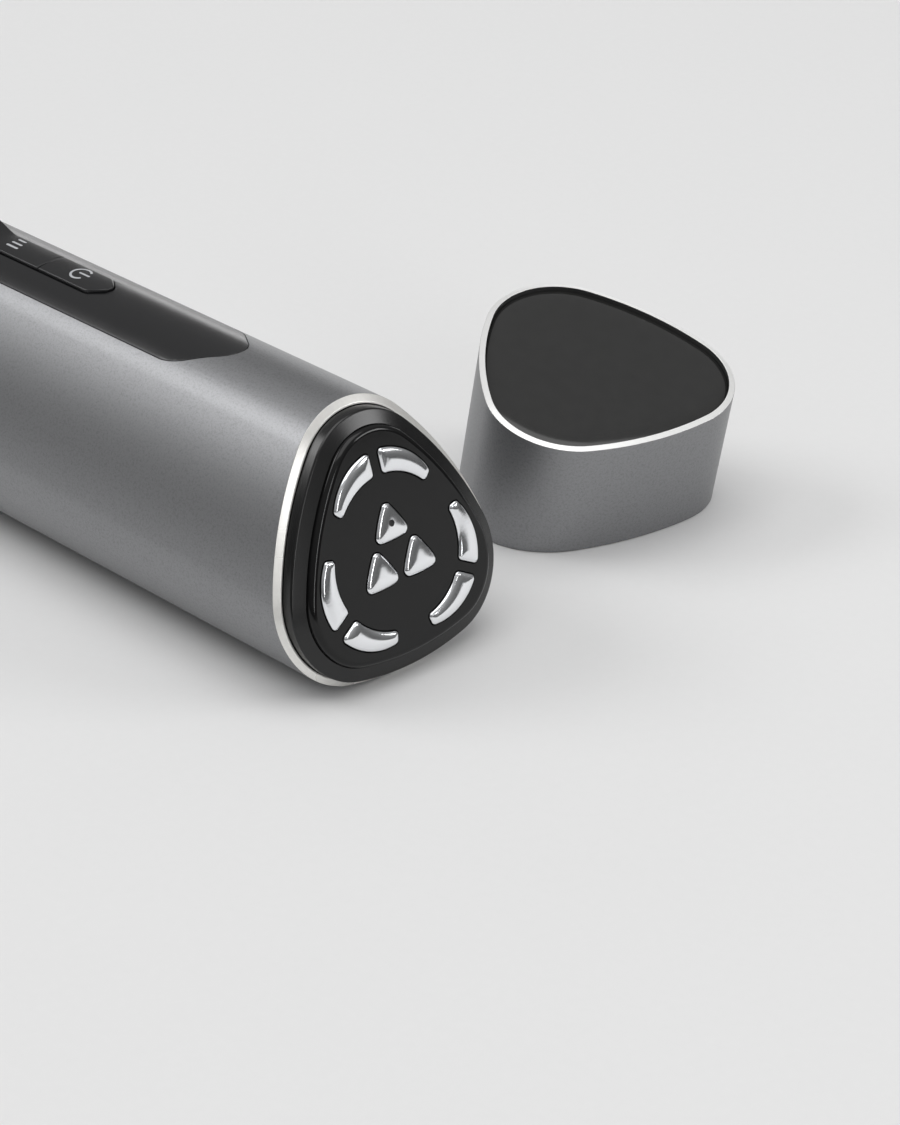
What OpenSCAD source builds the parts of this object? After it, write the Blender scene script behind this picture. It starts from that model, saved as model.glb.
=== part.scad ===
// Facial lifting device: a rounded-triangle handle lying on its base side, with its cap taken off.
// Lengths are millimetres. The handle's axis runs along X with the head towards +X and its ridge up.
// The handle's own frame has its origin where the axis meets the plane of the tube's outer rim.

/* [Section] */
// Distance from the axis to each rounded corner of the section
tip_r = 27.5; // [26.5:0.5:31]
// Radius of the section's rounded corners
corner_r = 16.2; // [14:0.2:18]
// Radius of the section's bulging sides
side_r = 61; // [50:1:85]
// Wall thickness of the tube and the cap
wall = 1.5; // [1.3:0.1:1.9]
// Width of the flat land left inside the bright bevels
bevel_land = 0.3; // [0.2:0.05:0.5]
// Depth of the bright bevels along the axis
bevel_h = 0.8; // [0.4:0.1:1.2]

/* [Tube] */
// Length of the tube along its axis, from its rim to its tail
tube_len = 168; // [162:1:200]
// Tilt of the head end from square to the axis
head_tilt = 15.5; // [8:0.5:18]
// Roll of the handle on its bulging base side, as it lies
handle_roll = 2; // [0:0.5:5]

/* [Head] */
// Height of the collar's straight side above the rim, along the axis
collar_x = 3.1; // [2.4:0.1:5]
// Length of the collar's spigot inside the tube
spigot_len = 12; // [11:0.5:16]
// Thickness of the spigot's wall
spigot_t = 2; // [1.5:0.1:2.5]
// Width of the sloping shoulder between the collar's edge and the face plate
shoulder_w = 2.7; // [2.2:0.1:3.2]
// Rise of the shoulder towards the face plate
shoulder_rise = 1; // [0.6:0.1:1.6]
// Height of the face plate above the shoulder
plate_step = 1.4; // [1:0.1:2.4]
// Thickness of the face plate
plate_t = 3; // [2.6:0.1:4]
// Width of the ledge that the face plate sits on
ledge_w = 1; // [0.8:0.1:1.4]
// Radius of the rounding along the face plate's edge
plate_round = 0.5; // [0.3:0.1:0.8]
// Depth of the sealing ring in its groove
seal_d = 0.8; // [0.5:0.1:1]
// Width of the sealing rings along the axis
seal_w = 2.2; // [1.6:0.1:3]

/* [Electrodes] */
// Radius of the curved electrodes' outer edge
arc_outer_r = 12.6; // [12:0.1:13]
// Plate left between that edge and the plate's corner
arc_margin = 3.3; // [2.8:0.1:3.8]
// Radius of the curved electrodes' inner edge
arc_inner_r = 12.8; // [12.4:0.1:13.2]
// Width of the curved electrodes at the corner's axis
arc_w = 4.8; // [4.4:0.1:5.2]
// Angle from a corner's axis to the far end of a curved electrode
arc_span = 45; // [38:1:48]
// Gap between the two curved electrodes of a pair
pair_gap = 2.1; // [1.6:0.1:3]
// Rounding of the curved electrodes' corners
arc_corner_r = 0.9; // [0.6:0.1:1.1]
// Distance of the three middle electrodes from the pattern's centre
centre_ring_r = 5.3; // [5.1:0.1:6]
// Distance from a middle electrode's centre to its tips
centre_tip_r = 4.2; // [4:0.1:4.3]
// Rounding of a middle electrode's tips
centre_corner_r = 1.2; // [1:0.1:1.6]
// Radius of a middle electrode's sides
centre_side_r = 25; // [15:1:60]
// Height of the electrodes' crowns above the face plate
crown_h = 0.45; // [0.3:0.05:0.7]
// Moulded gap round each electrode
window_gap = 0.2; // [0.15:0.05:0.35]
// Radius of the skin sensor
sensor_r = 0.6; // [0.5:0.05:0.7]

/* [Panel and keys] */
// Full width of the control panel, across the ridge
panel_w = 18; // [17:0.5:20]
// Distance from the rim to the panel's point
panel_front = 35.5; // [30:0.1:40]
// Length of plain panel behind the keys
panel_rear = 16.9; // [16.5:0.1:24]
// Angle of the pointed ends' edges to the axis
point_angle = 34; // [30:1:42]
// Thickness of the panel where it lies in the tube's rebate
inlay_t = 0.8; // [0.6:0.05:0.9]
// Width of the strip of keys
key_w = 6.8; // [6:0.1:8]
// Distance from the rim to the point of the power key
key_front = 74.2; // [70:0.1:75]
// Length of the power key along the strip
power_len = 18.4; // [16:0.1:20]
// Length of the level key along the strip
level_len = 22; // [20:0.5:23]
// Length of the mode key along the strip
mode_len = 19.6; // [18:0.1:22]
// Height of the power and level keys above the panel
key_proud = 0.6; // [0.4:0.1:1]
// Extra height of the mode key, which the level key sweeps up to
mode_rise = 1.9; // [0.5:0.1:3]
// Length of that sweep along the level key
sweep_len = 7; // [4:0.5:9]
// Travel of each key
key_travel = 0.35; // [0.2:0.05:0.4]

/* [Cap] */
// Length of the cap along its axis, from its mouth's plane to its top
cap_len = 31.6; // [24:0.1:40]
// Depth of the recess that holds the cap's plate
cap_recess = 1.7; // [1.4:0.1:2.5]
// Width of the bright rim round the cap's plate
cap_rim = 1.2; // [0.9:0.05:1.4]
// Depth of the bevel on that rim
cap_bevel_h = 0.35; // [0.2:0.05:0.8]
// Gap between the rim and the cap's plate
cap_gap = 0.25; // [0.15:0.05:0.35]
// Thickness of the cap's end wall under the plate
cap_end = 1.5; // [1:0.1:2.5]
// Wall thickness of the cap's liner
liner_t = 1; // [0.8:0.1:1.4]
// Where the cap stands, ahead of the rim
cap_x = -23.2; // [-30:0.1:-10]
// Where the cap stands, across from the handle's axis
cap_y = 73.2; // [66:0.1:90]
// Turn of the standing cap about the vertical
cap_turn = -13.5; // [-30:0.5:30]

/* [Inside] */
// Radius of the lithium cell
cell_r = 9.1; // [8.8:0.1:9.3]
// Length of the lithium cell
cell_len = 65; // [60:0.5:68]
// Thickness of the chassis keel at its middle
keel_t = 2; // [1.6:0.1:2.6]
// Thickness of the chassis bulkheads
bulkhead_t = 2.4; // [2:0.1:3]
// Width of the main board
board_w = 30; // [26:0.5:32]
// Thickness of every circuit board
board_t = 1.6; // [1:0.1:1.6]
// Space between the cell and the main board
cell_space = 2.2; // [1.5:0.1:2.6]
// Width of the key board
key_board_w = 17; // [16:0.5:18]
// Height of a key switch
switch_h = 2.5; // [2:0.1:3]

/* [Hidden] */

// Clearances
fit = 0.15;
slide_gap = 0.2;
eps = 0.01;
// Facets along each corner and each side of the section
corner_seg = 16;
side_seg = 8;
$fn = 48;

// Colours
anodised = [0.56, 0.58, 0.6];
gloss_black = [0.05, 0.05, 0.055];
matt_black = [0.12, 0.12, 0.13];
chrome = [0.85, 0.86, 0.88];
board_green = [0.05, 0.3, 0.16];
steel = [0.7, 0.7, 0.72];
moulding = [0.85, 0.85, 0.82];

// Derived sizes of the section
bevel_w = wall - bevel_land;
corner_c = tip_r - corner_r;
side_b = asin(sqrt(3) / 2 * corner_c / (side_r - corner_r));
side_c = (side_r - corner_r) * cos(side_b) - corner_c / 2;
base_r = side_r - side_c;
axis_z = side_r - side_c * cos(handle_roll);

// Derived sizes of the head, heights counted square to the oblique face from the collar's edge
collar_in = wall + fit;
collar_break = 0.25;
seal_front = bevel_h - 0.2;
plate_in = collar_in + shoulder_w + fit;
arc_outer_c = tip_r - plate_in - arc_margin - arc_outer_r;
arc_inner_c = tip_r - plate_in - arc_margin - arc_w - arc_inner_r;
plate_top = shoulder_rise + plate_step;
plate_base = plate_top - plate_t;
ledge_in = plate_in + ledge_w;
ledge_t = 1.2;
carrier_t = 2;
carrier_in = ledge_in + fit;
crown_top = plate_top + crown_h;
carrier_base = plate_base - carrier_t;
head_board_base = carrier_base - board_t;
arc_boss_r = 1.7;
arc_bore_r = 0.85;
centre_boss_r = 1.1;
centre_bore_r = 0.55;
centre_boss_drop = 1.5;
screw_gap = 0.12;
sensor_rise = 0.45;
bore_deep = 3.2;
screw_head_h = 1.1;
boss_angle = 22;

// Derived sizes of the panel and keys
key_lens = [power_len, level_len, mode_len];
key_starts = [key_front, key_front + power_len, key_front + power_len + level_len];
strip_len = power_len + level_len + mode_len;
sweep_start = key_starts[2] - sweep_len;
fall_len = 0.4 * mode_len;
panel_tail = key_front + strip_len + panel_rear;
panel_corner_r = 11;
panel_point_r = 4.3;
key_corner_r = 2;
key_point_r = 2.1;
key_gap = 0.3;
key_break = 0.25;
tray_w = key_w + 9;
tray_drop = 4;
tray_z = tip_r - tray_drop;
tray_ends = 4.5;
flange_out = 0.9;
flange_t = 1.1;
flange_top = tray_z - slide_gap;
plunger_r = 1.3;
plunger_h = 0.8;
plunger_z = flange_top - flange_t - plunger_h;
switch_gap = key_travel + 0.1;
key_board_top = plunger_z - switch_gap - switch_h;
key_board_z = key_board_top - board_t;

// Derived sizes of the inside
inner_in = wall + slide_gap;
keel_top = keel_t - (base_r - inner_in);
cell_z = keel_top + cell_r;
board_z = cell_z + cell_r + cell_space;
board_top = board_z + board_t;
tail_recess = 0.4;
tail_plate_t = 2;
tail_frame_t = 4;
tail_groove_x = 0.8;
tail_plate_back = tail_recess + tail_plate_t - tube_len;
tail_frame_back = tail_plate_back + tail_frame_t;
chassis_tail = tail_frame_back;
chassis_head = -spigot_len;
rail_w = 3;
rail_h = 5;
cell_tail = chassis_tail + 12;
cell_head = cell_tail + cell_len;
cradle_in = 10;
tail_screw_r = 1.25;
tail_screw_head_r = 2.2;
tail_screw_head_h = 1.5;
tail_screw_c = tip_r - wall - 7.5;

// Charging socket, a standard reversible plug's shell
socket_w = 8.94;
socket_h = 3.26;
socket_wall = 0.3;
socket_len = 8.3;
socket_mouth = tail_recess + 0.8 - tube_len;
socket_z = board_top + socket_h / 2;
tongue_w = 6.69;
tongue_t = 0.7;

// Main board parts: distance behind the rim of each one's middle
transformer_at = 42;
inductor_at = 66;
capacitors_at = 84;
processor_at = 116;
motor_at = 34;
connector_len = 5;
connector_w = 12;
connector_h = 2.6;
ribbon_t = 0.3;
ribbon_w = 10;

// Plane geometry
function dir(a) = [cos(a), sin(a)];
function turn(p, a) = [p.x * cos(a) - p.y * sin(a), p.x * sin(a) + p.y * cos(a)];
function unit(v) = v / norm(v);
function left(v) = [-v.y, v.x];

// A triangle with rounded corners and bulging sides, one corner towards +Y
function rounded_triangle(tip, cr, sr, nc, ns) =
    let (c = tip - cr, b = asin(sqrt(3) / 2 * c / (sr - cr)), o = (sr - cr) * cos(b) - c / 2)
    [for (k = [0:2]) each concat(
        [for (i = [0:nc - 1]) c * dir(90 + 120 * k) + cr * dir(90 + 120 * k + (60 - b) * (2 * i / nc - 1))],
        [for (i = [0:ns - 1]) -o * dir(150 + 120 * k) + sr * dir(150 + 120 * k + b * (2 * i / ns - 1))])];

// The handle's section, moved inwards by d
function section(d) = rounded_triangle(tip_r - d, corner_r - d, side_r - d, corner_seg, side_seg);

// A corner at b, rounded by an arc of n steps between the edges to a and c
function fillet(a, b, c, r, n) = r == 0 ? [b] :
    let (u = unit(a - b), v = unit(c - b), half = acos(u * v) / 2)
    let (m = b + unit(u + v) * r / sin(half), s = b + u * r / tan(half) - m, e = b + v * r / tan(half) - m)
    let (a0 = atan2(s.y, s.x), sweep = (atan2(e.y, e.x) - a0 + 540) % 360 - 180)
    [for (i = [0:n]) m + r * dir(a0 + sweep * i / n)];
function filleted(pts, radii, n) = let (m = len(pts))
    [for (i = [0:m - 1]) each fillet(pts[(i + m - 1) % m], pts[i], pts[(i + 1) % m], radii[i], n)];

// A closed outline moved inwards by d, or outwards where d is negative
function inset(pts, d) = let (m = len(pts))
    [for (i = [0:m - 1])
        let (a = left(unit(pts[i] - pts[(i + m - 1) % m])), b = left(unit(pts[(i + 1) % m] - pts[i])))
        let (n = unit(a + b)) pts[i] + n * d / (n * a)];

// Rings of points in the handle's frame, written as [across, up, along]
function square_ring(d, x) = [for (p = section(d)) [p.x, p.y, x]];
function rim_ring(d, x) = [for (p = section(d)) [p.x, p.y, x - p.y * tan(head_tilt)]];
function head_ring(d, h) = [for (p = section(d))
    [p.x, p.y + h * sin(head_tilt), collar_x + h * cos(head_tilt) - p.y * tan(head_tilt)]];
function flat_ring(pts, h) = [for (p = pts) [p.x, p.y, h]];

// Solids through rings that all have as many points, counted anticlockwise seen from their far end
function wall_faces(n, m, count) = [for (j = [0:m - 1]) for (i = [0:n - 1])
    let (k = (i + 1) % n, q = (j + 1) % count) [j * n + i, q * n + i, q * n + k, j * n + k]];
module loft(rings) {
    n = len(rings[0]);
    m = len(rings);
    polyhedron([for (r = rings) each r], concat(
        [[for (i = [0:n - 1]) i]], wall_faces(n, m - 1, m), [[for (i = [n - 1:-1:0]) (m - 1) * n + i]]),
        convexity = 6);
}
module loop_loft(rings) {
    n = len(rings[0]);
    m = len(rings);
    polyhedron([for (r = rings) each r], wall_faces(n, m, m), convexity = 8);
}

// Width of the cap's bevel, within its rim
cap_bevel_w = cap_rim - bevel_land / 2;

// Where things stand. The origin is midway along and across the whole object, on the floor
function handle_across(p) = p.x * cos(handle_roll) - p.y * sin(handle_roll);
function cap_point(q) = let (t = head_tilt - 90, s = turn([q.z * cos(t) + q.y * sin(t), q.x], cap_turn))
    [s.x + cap_x, s.y + cap_y];
cap_points = [for (q = concat(rim_ring(0, 0), square_ring(0, cap_len - cap_bevel_h), square_ring(cap_bevel_w, cap_len)))
    cap_point(q)];
all_x = concat([-tube_len], [for (q = head_ring(plate_in + plate_round, plate_top)) q.z], [for (c = cap_points) c.x]);
all_y = concat([for (p = section(0)) handle_across(p)], [for (c = cap_points) c.y]);
origin_x = (min(all_x) + max(all_x)) / 2;
origin_y = (min(all_y) + max(all_y)) / 2;

module handle() translate([-origin_x, -origin_y, axis_z]) rotate([handle_roll, 0, 0]) children();
module along_axis() rotate([90, 0, 90]) children();
module head() translate([collar_x, 0, 0]) rotate([0, -head_tilt, 0]) along_axis() children();
module standing_cap() translate([cap_x - origin_x, cap_y - origin_y, 0])
    rotate([0, 0, cap_turn]) rotate([0, head_tilt - 90, 0]) along_axis() children();

module bar(d, x0, x1) along_axis() translate([0, 0, x0]) linear_extrude(x1 - x0) polygon(section(d));
module head_slab(d, h0, h1) head() translate([0, 0, h0]) linear_extrude(h1 - h0)
    polygon([for (p = section(d)) [p.x, p.y / cos(head_tilt)]]);
module block(x0, x1, w, z0, z1) translate([x0, -w / 2, z0]) cube([x1 - x0, w, z1 - z0]);

// Pointed outline, seen from above the ridge, from x0 at the tail to x1 at the head
function pointed(x0, x1, w, corner, point) =
    let (over = point * (1 / sin(point_angle) - 1), run = w / 2 / tan(point_angle))
    filleted([[x1 + over, 0], [x1 + over - run, w / 2], [x0 - over + run, w / 2],
        [x0 - over, 0], [x0 - over + run, -w / 2], [x1 + over - run, -w / 2]],
        [point, corner, corner, point, corner, corner], 6);
panel_outline = pointed(-panel_tail, -panel_front, panel_w, panel_corner_r, panel_point_r);
strip_outline = pointed(-key_front - strip_len, -key_front, key_w, key_corner_r, key_point_r);
module upright(pts, z0, z1) translate([0, 0, z0]) linear_extrude(z1 - z0) polygon(pts);

// Curved electrode beside the corner axis 0, on its left hand, in the pattern's plane
function on_circle(c, r, a) = c * cos(a) + sqrt(r * r - pow(c * sin(a), 2));
function arc_edge(c, r, flip) =
    let (a0 = asin(pair_gap / 2 / r), far = on_circle(c, r, arc_span) * dir(arc_span) - [c, 0])
    let (a1 = atan2(far.y, far.x), n = 10)
    [for (i = [0:n]) [c, 0] + r * dir(flip ? a1 + (a0 - a1) * i / n : a0 + (a1 - a0) * i / n)];
arc_base = concat(arc_edge(arc_outer_c, arc_outer_r, false), arc_edge(arc_inner_c, arc_inner_r, true));
arc_half = len(arc_base) / 2;
arc_shape = filleted(arc_base, [for (i = [0:len(arc_base) - 1])
    (i % arc_half == 0 || i % arc_half == arc_half - 1) ? arc_corner_r : 0], 3);
function arc_outline(i) =
    let (a = 90 + 120 * floor((i - 1) / 2), flip = i % 2 == 0, n = len(arc_shape))
    [for (j = [0:n - 1]) let (p = arc_shape[flip ? n - 1 - j : j]) turn(flip ? [p.x, -p.y] : p, a)];
boss_r_at = (on_circle(arc_outer_c, arc_outer_r, boss_angle) + on_circle(arc_inner_c, arc_inner_r, boss_angle)) / 2;
function arc_boss(i) = boss_r_at * dir(90 + 120 * floor((i - 1) / 2) + (i % 2 == 0 ? -boss_angle : boss_angle));

// Middle electrode, always with one tip up
centre_shape = rounded_triangle(centre_tip_r, centre_corner_r, centre_side_r, 6, 4);
function centre_at(i) = centre_ring_r * dir(90 + 120 * (i - 1));
function centre_outline(i) = [for (p = centre_shape) p + centre_at(i)];
function centre_boss(i) = centre_at(i) - [0, centre_boss_drop];
sensor_at = centre_at(1) + [0, sensor_rise];

// Handle tube, with the window for the control panel
module tube_shell() color(anodised) handle() difference() {
    along_axis() loop_loft([square_ring(bevel_w, -tube_len), square_ring(0, bevel_h - tube_len), rim_ring(0, 0),
        rim_ring(bevel_w, bevel_h), rim_ring(wall, bevel_h), square_ring(wall, -tube_len)]);
    difference() {
        upright(panel_outline, 0, tip_r + 1);
        bar(inlay_t, -panel_tail - 1, 1 - panel_front);
    }
    block(-key_front - strip_len - tray_ends - slide_gap, tray_ends + slide_gap - key_front,
        tray_w + 2 * slide_gap, 0, tip_r);
}

// Head: stepped collar on a spigot, its sealing ring and the raised plate
module head_collar() color(gloss_black) handle() along_axis() loop_loft([
    square_ring(collar_in, -spigot_len),
    rim_ring(collar_in, seal_front - seal_w), rim_ring(collar_in + seal_d, seal_front - seal_w),
    rim_ring(collar_in + seal_d, seal_front), rim_ring(collar_in, seal_front),
    rim_ring(collar_in, collar_x - collar_break), head_ring(collar_in + collar_break, 0),
    head_ring(plate_in - fit, shoulder_rise), head_ring(plate_in - fit, plate_base),
    head_ring(ledge_in, plate_base), head_ring(ledge_in, plate_base - ledge_t),
    rim_ring(collar_in + spigot_t, collar_x + (plate_base - ledge_t) / cos(head_tilt)),
    square_ring(collar_in + spigot_t, -spigot_len)]);

module head_seal() color(matt_black) handle() along_axis() loop_loft([
    rim_ring(wall, seal_front - seal_w), rim_ring(wall, seal_front),
    rim_ring(collar_in + seal_d, seal_front), rim_ring(collar_in + seal_d, seal_front - seal_w)]);

module face_plate() color(gloss_black) handle() difference() {
    along_axis() loft([head_ring(plate_in, plate_base), head_ring(plate_in, plate_top - plate_round),
        head_ring(plate_in + 0.3 * plate_round, plate_top - 0.3 * plate_round),
        head_ring(plate_in + plate_round, plate_top)]);
    head() translate([0, 0, plate_base - 1]) linear_extrude(plate_t + 2) {
        for (i = [1:6]) polygon(inset(arc_outline(i), -window_gap));
        for (i = [1:3]) polygon(inset(centre_outline(i), -window_gap));
    }
}

// Crowned electrode on a boss that is bored for its screw, one surface from the bore's end to the crown
function ring_about(pts, c, r, h) = [for (p = pts) let (u = unit(p - c)) [c.x + r * u.x, c.y + r * u.y, h]];
module electrode(pts, corner, boss, boss_r, bore_r) loft([
    ring_about(pts, boss, bore_r, carrier_base + bore_deep), ring_about(pts, boss, bore_r, carrier_base),
    ring_about(pts, boss, boss_r, carrier_base), ring_about(pts, boss, boss_r, plate_base),
    flat_ring(pts, plate_base), flat_ring(pts, plate_top),
    flat_ring(inset(pts, 0.12 * corner), plate_top + 0.5 * crown_h),
    flat_ring(inset(pts, 0.36 * corner), plate_top + 0.87 * crown_h),
    flat_ring(inset(pts, 0.68 * corner), crown_top)]);

module arc_electrode(i) color(chrome) handle() head()
    electrode(arc_outline(i), arc_corner_r, arc_boss(i), arc_boss_r, arc_bore_r);

module centre_electrode(i) color(chrome) handle() head() difference() {
    electrode(centre_outline(i), centre_corner_r, centre_boss(i), centre_boss_r, centre_bore_r);
    if (i == 1) translate([sensor_at.x, sensor_at.y, plate_base - 1]) cylinder(r = sensor_r + 0.05, h = plate_t + 3);
}

module skin_sensor() color(matt_black) handle() head()
    translate([sensor_at.x, sensor_at.y, plate_base]) cylinder(r = sensor_r, h = plate_t + crown_h - 0.3);

module electrode_carrier() color(matt_black) handle() difference() {
    head_slab(carrier_in, carrier_base, plate_base);
    head() translate([0, 0, carrier_base - 1]) {
        for (i = [1:6]) translate(arc_boss(i)) cylinder(r = arc_boss_r + fit, h = carrier_t + 2);
        for (i = [1:3]) translate(centre_boss(i)) cylinder(r = centre_boss_r + fit, h = carrier_t + 2);
    }
}

module electrode_board() color(board_green) handle() difference() {
    head_slab(carrier_in + 0.6, head_board_base, carrier_base);
    head() translate([0, 0, head_board_base - 1]) {
        for (i = [1:6]) translate(arc_boss(i)) cylinder(r = arc_bore_r + fit, h = board_t + 2);
        for (i = [1:3]) translate(centre_boss(i)) cylinder(r = centre_bore_r + fit, h = board_t + 2);
    }
}

module board_screw(at, r, head_r) translate([at.x, at.y, head_board_base]) {
    translate([0, 0, -screw_head_h]) cylinder(r = head_r, h = screw_head_h);
    translate([0, 0, -eps]) cylinder(r = r, h = board_t + bore_deep - 0.3 + eps);
}
module electrode_screws() color(steel) handle() head() {
    for (i = [1:6]) board_screw(arc_boss(i), arc_bore_r - screw_gap, arc_boss_r + 0.1);
    for (i = [1:3]) board_screw(centre_boss(i), centre_bore_r - screw_gap, centre_boss_r);
}

// Chassis: keel, bulkheads and rails, one moulding that slides into the tube from its tail
bulkheads = [chassis_tail + bulkhead_t / 2, cell_tail + cradle_in, cell_head - cradle_in,
    -transformer_at - 14, chassis_head - bulkhead_t / 2];
module inner_chassis() color(moulding) handle() difference() {
    union() {
        intersection() {
            bar(inner_in, chassis_tail, chassis_head);
            union() {
                block(chassis_tail, chassis_head, 2 * tip_r, -tip_r, keel_top);
                for (x = bulkheads)
                    block(x - bulkhead_t / 2, x + bulkhead_t / 2, 2 * tip_r, -tip_r, board_z);
            }
        }
        for (s = [-1, 1]) translate([0, s * (board_w - rail_w) / 2, 0])
            block(chassis_tail, chassis_head, rail_w, board_z - rail_h, board_z);
    }
    translate([chassis_tail - 1, 0, cell_z]) rotate([0, 90, 0])
        cylinder(r = cell_r + fit, h = chassis_head - chassis_tail + 2);
    for (s = [-1, 1]) translate([chassis_tail - 1, 0, 0]) rotate([0, 90, 0])
        translate([-tail_screw_at(s).y, tail_screw_at(s).x, 0]) cylinder(r = tail_screw_r, h = bulkhead_t + 2);
}
function tail_screw_at(s) = tail_screw_c * dir(270 + s * 60);

module main_board() color(board_green) handle()
    block(chassis_tail, chassis_head - 2, board_w, board_z, board_top);

module processor_chip() color(matt_black) handle()
    translate([-processor_at, 0, board_top]) linear_extrude(1.2) square(10, center = true);

module board_capacitors() color([0.2, 0.22, 0.3]) handle()
    for (i = [-1:1]) translate([-capacitors_at, i * 8, board_top]) {
        cylinder(r = 3.15, h = 6.5);
        translate([0, 0, 6.5 - eps]) cylinder(r = 2.7, h = 0.3 + eps);
    }

module power_inductor() color([0.25, 0.25, 0.26]) handle() translate([-inductor_at, 0, board_top]) {
    linear_extrude(1) square(8, center = true);
    translate([0, 0, 1 - eps]) cylinder(r = 3.7, h = 2.5 + eps);
    translate([0, 0, 3.5 - eps]) linear_extrude(0.8 + eps) square(8, center = true);
}

module output_transformer() color([0.3, 0.28, 0.26]) handle() translate([-transformer_at, 0, board_top]) {
    linear_extrude(2) square([13, 11], center = true);
    translate([0, 0, 2 - eps]) cylinder(r = 4.2, h = 6 + 2 * eps);
    for (s = [-1, 1]) translate([s * 5.4, 0, 2 - eps]) linear_extrude(6 + 2 * eps) square([2.2, 11], center = true);
    translate([0, 0, 8]) linear_extrude(2) square([13, 11], center = true);
}

module head_connector() color(moulding) handle() translate([chassis_head - 2 - connector_len, 0, 0])
    difference() {
        block(0, connector_len, connector_w, board_top, board_top + connector_h);
        block(1, connector_len + 1, ribbon_w + 2 * fit, board_top + 1, board_top + 1 + ribbon_t + 2 * fit);
    }

// Flat flexible lead from the main board's connector to the back of the electrode board
ribbon_z = board_top + 1 + fit + ribbon_t / 2;
ribbon_tail = chassis_head - 2 - connector_len + 1;
function head_back(b) = [collar_x + head_board_base * cos(head_tilt) - b * sin(head_tilt),
    head_board_base * sin(head_tilt) + b * cos(head_tilt)];
ribbon_end = head_back(0);
ribbon_turn_r = 3;
ribbon_path = filleted([[ribbon_tail, ribbon_z], [ribbon_end.x - 6, ribbon_z],
    ribbon_end - 4 * dir(head_tilt), ribbon_end], [0, ribbon_turn_r, ribbon_turn_r, 0], 8);
function strip_side(path, s) = let (m = len(path)) [for (i = [0:m - 1])
    let (t = unit(path[min(i + 1, m - 1)] - path[max(i - 1, 0)])) path[i] + left(t) * s * ribbon_t / 2];
module head_ribbon() color([0.75, 0.6, 0.25]) handle() rotate([90, 0, 0])
    translate([0, 0, -ribbon_w / 2]) linear_extrude(ribbon_w) polygon(concat(strip_side(ribbon_path, -1),
        [for (i = [len(ribbon_path) - 1:-1:0]) strip_side(ribbon_path, 1)[i]]));

module battery_cell() color([0.15, 0.3, 0.55]) handle() translate([cell_tail, 0, cell_z]) rotate([0, 90, 0]) {
    cylinder(r = cell_r, h = cell_len - 1.2);
    translate([0, 0, cell_len - 1.2 - eps]) cylinder(r = 3, h = 1.2 + eps);
}

// Spring strips from the cell's ends up to the underside of the main board
contact_t = 0.4;
contact_w = 7;
module battery_contacts() color(steel) handle() {
    block(cell_tail - contact_t, cell_tail, contact_w, cell_z - 4, board_z);
    block(cell_head, cell_head + contact_t, contact_w, cell_z - 4, board_z);
}

module vibration_motor() color(steel) handle() translate([-motor_at, 0, keel_top]) {
    cylinder(r = 5, h = 2.7);
    translate([0, 0, 2.7 - eps]) cylinder(r = 3.6, h = 0.3 + eps);
}

// Control panel: a thin inlay in the rebate, with a tray below it that guides the keys
boss_x = [-key_front - strip_len - tray_ends + 2.2, tray_ends - 2.2 - key_front];
boss_y = tray_w / 2 - 2;
module boss_places() for (x = boss_x, s = [-1, 1]) translate([x, s * boss_y, 0]) children();
module control_panel() color(matt_black) handle() difference() {
    union() {
        difference() {
            intersection() {
                upright(inset(panel_outline, fit), 0, tip_r + 1);
                bar(0, -panel_tail - 1, 1 - panel_front);
            }
            bar(inlay_t, -panel_tail - 2, 2 - panel_front);
        }
        intersection() {
            block(-key_front - strip_len - tray_ends, tray_ends - key_front, tray_w, tray_z, tip_r);
            bar(inlay_t / 2, -panel_tail - 1, 1 - panel_front);
        }
        boss_places() translate([0, 0, key_board_top]) cylinder(r = 1.8, h = tray_z - key_board_top + 0.5);
    }
    upright(inset(strip_outline, -slide_gap), 0, tip_r + 2);
    boss_places() translate([0, 0, key_board_top - 1]) cylinder(r = 0.7, h = 4.5);
}

// Height of the keys above the panel's crown, at a distance x along the axis
function smooth(t) = let (c = max(0, min(1, t))) c * c * (3 - 2 * c);
function key_top(x) = key_proud + mode_rise * smooth((-x - sweep_start) / sweep_len)
    * (0.2 + 0.8 * smooth((x + key_front + strip_len) / fall_len));
key_stations = concat([-key_front - strip_len - 3],
    [for (i = [0:6]) -key_front - strip_len + fall_len * i / 6],
    [for (i = [6:-1:0]) -sweep_start - sweep_len * i / 6], [3 - key_front]);
module swept_bar(d) along_axis() loft([for (x = key_stations) square_ring(d - key_top(x), x)]);

// Key number i, counted from the head
module key(i) handle() {
    x1 = -key_starts[i] - (i == 0 ? -1 : key_gap / 2);
    x0 = -key_starts[i] - key_lens[i] + (i == 2 ? -1 : key_gap / 2);
    intersection() {
        block(x0, x1, key_w + 2, flange_top - eps, tip_r + mode_rise + 2);
        union() {
            intersection() {
                upright(strip_outline, 0, tip_r + mode_rise + 3);
                swept_bar(key_break);
            }
            intersection() {
                upright(inset(strip_outline, key_break), 0, tip_r + mode_rise + 3);
                block(x0 + key_break, x1 - key_break, key_w, 0, tip_r + mode_rise + 3);
                swept_bar(0);
            }
        }
    }
    x1f = min(x1, -key_front - key_point_r - 2);
    x0f = max(x0, -key_front - strip_len + key_point_r + 2);
    block(x0f, x1f, key_w + 2 * flange_out, flange_top - flange_t, flange_top);
    translate([-key_starts[i] - key_lens[i] / 2, 0, plunger_z]) cylinder(r = plunger_r, h = plunger_h + eps);
}
module power_button() color(matt_black) key(0);
module level_button() color(matt_black) key(1);
module mode_button() color(matt_black) key(2);

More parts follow.
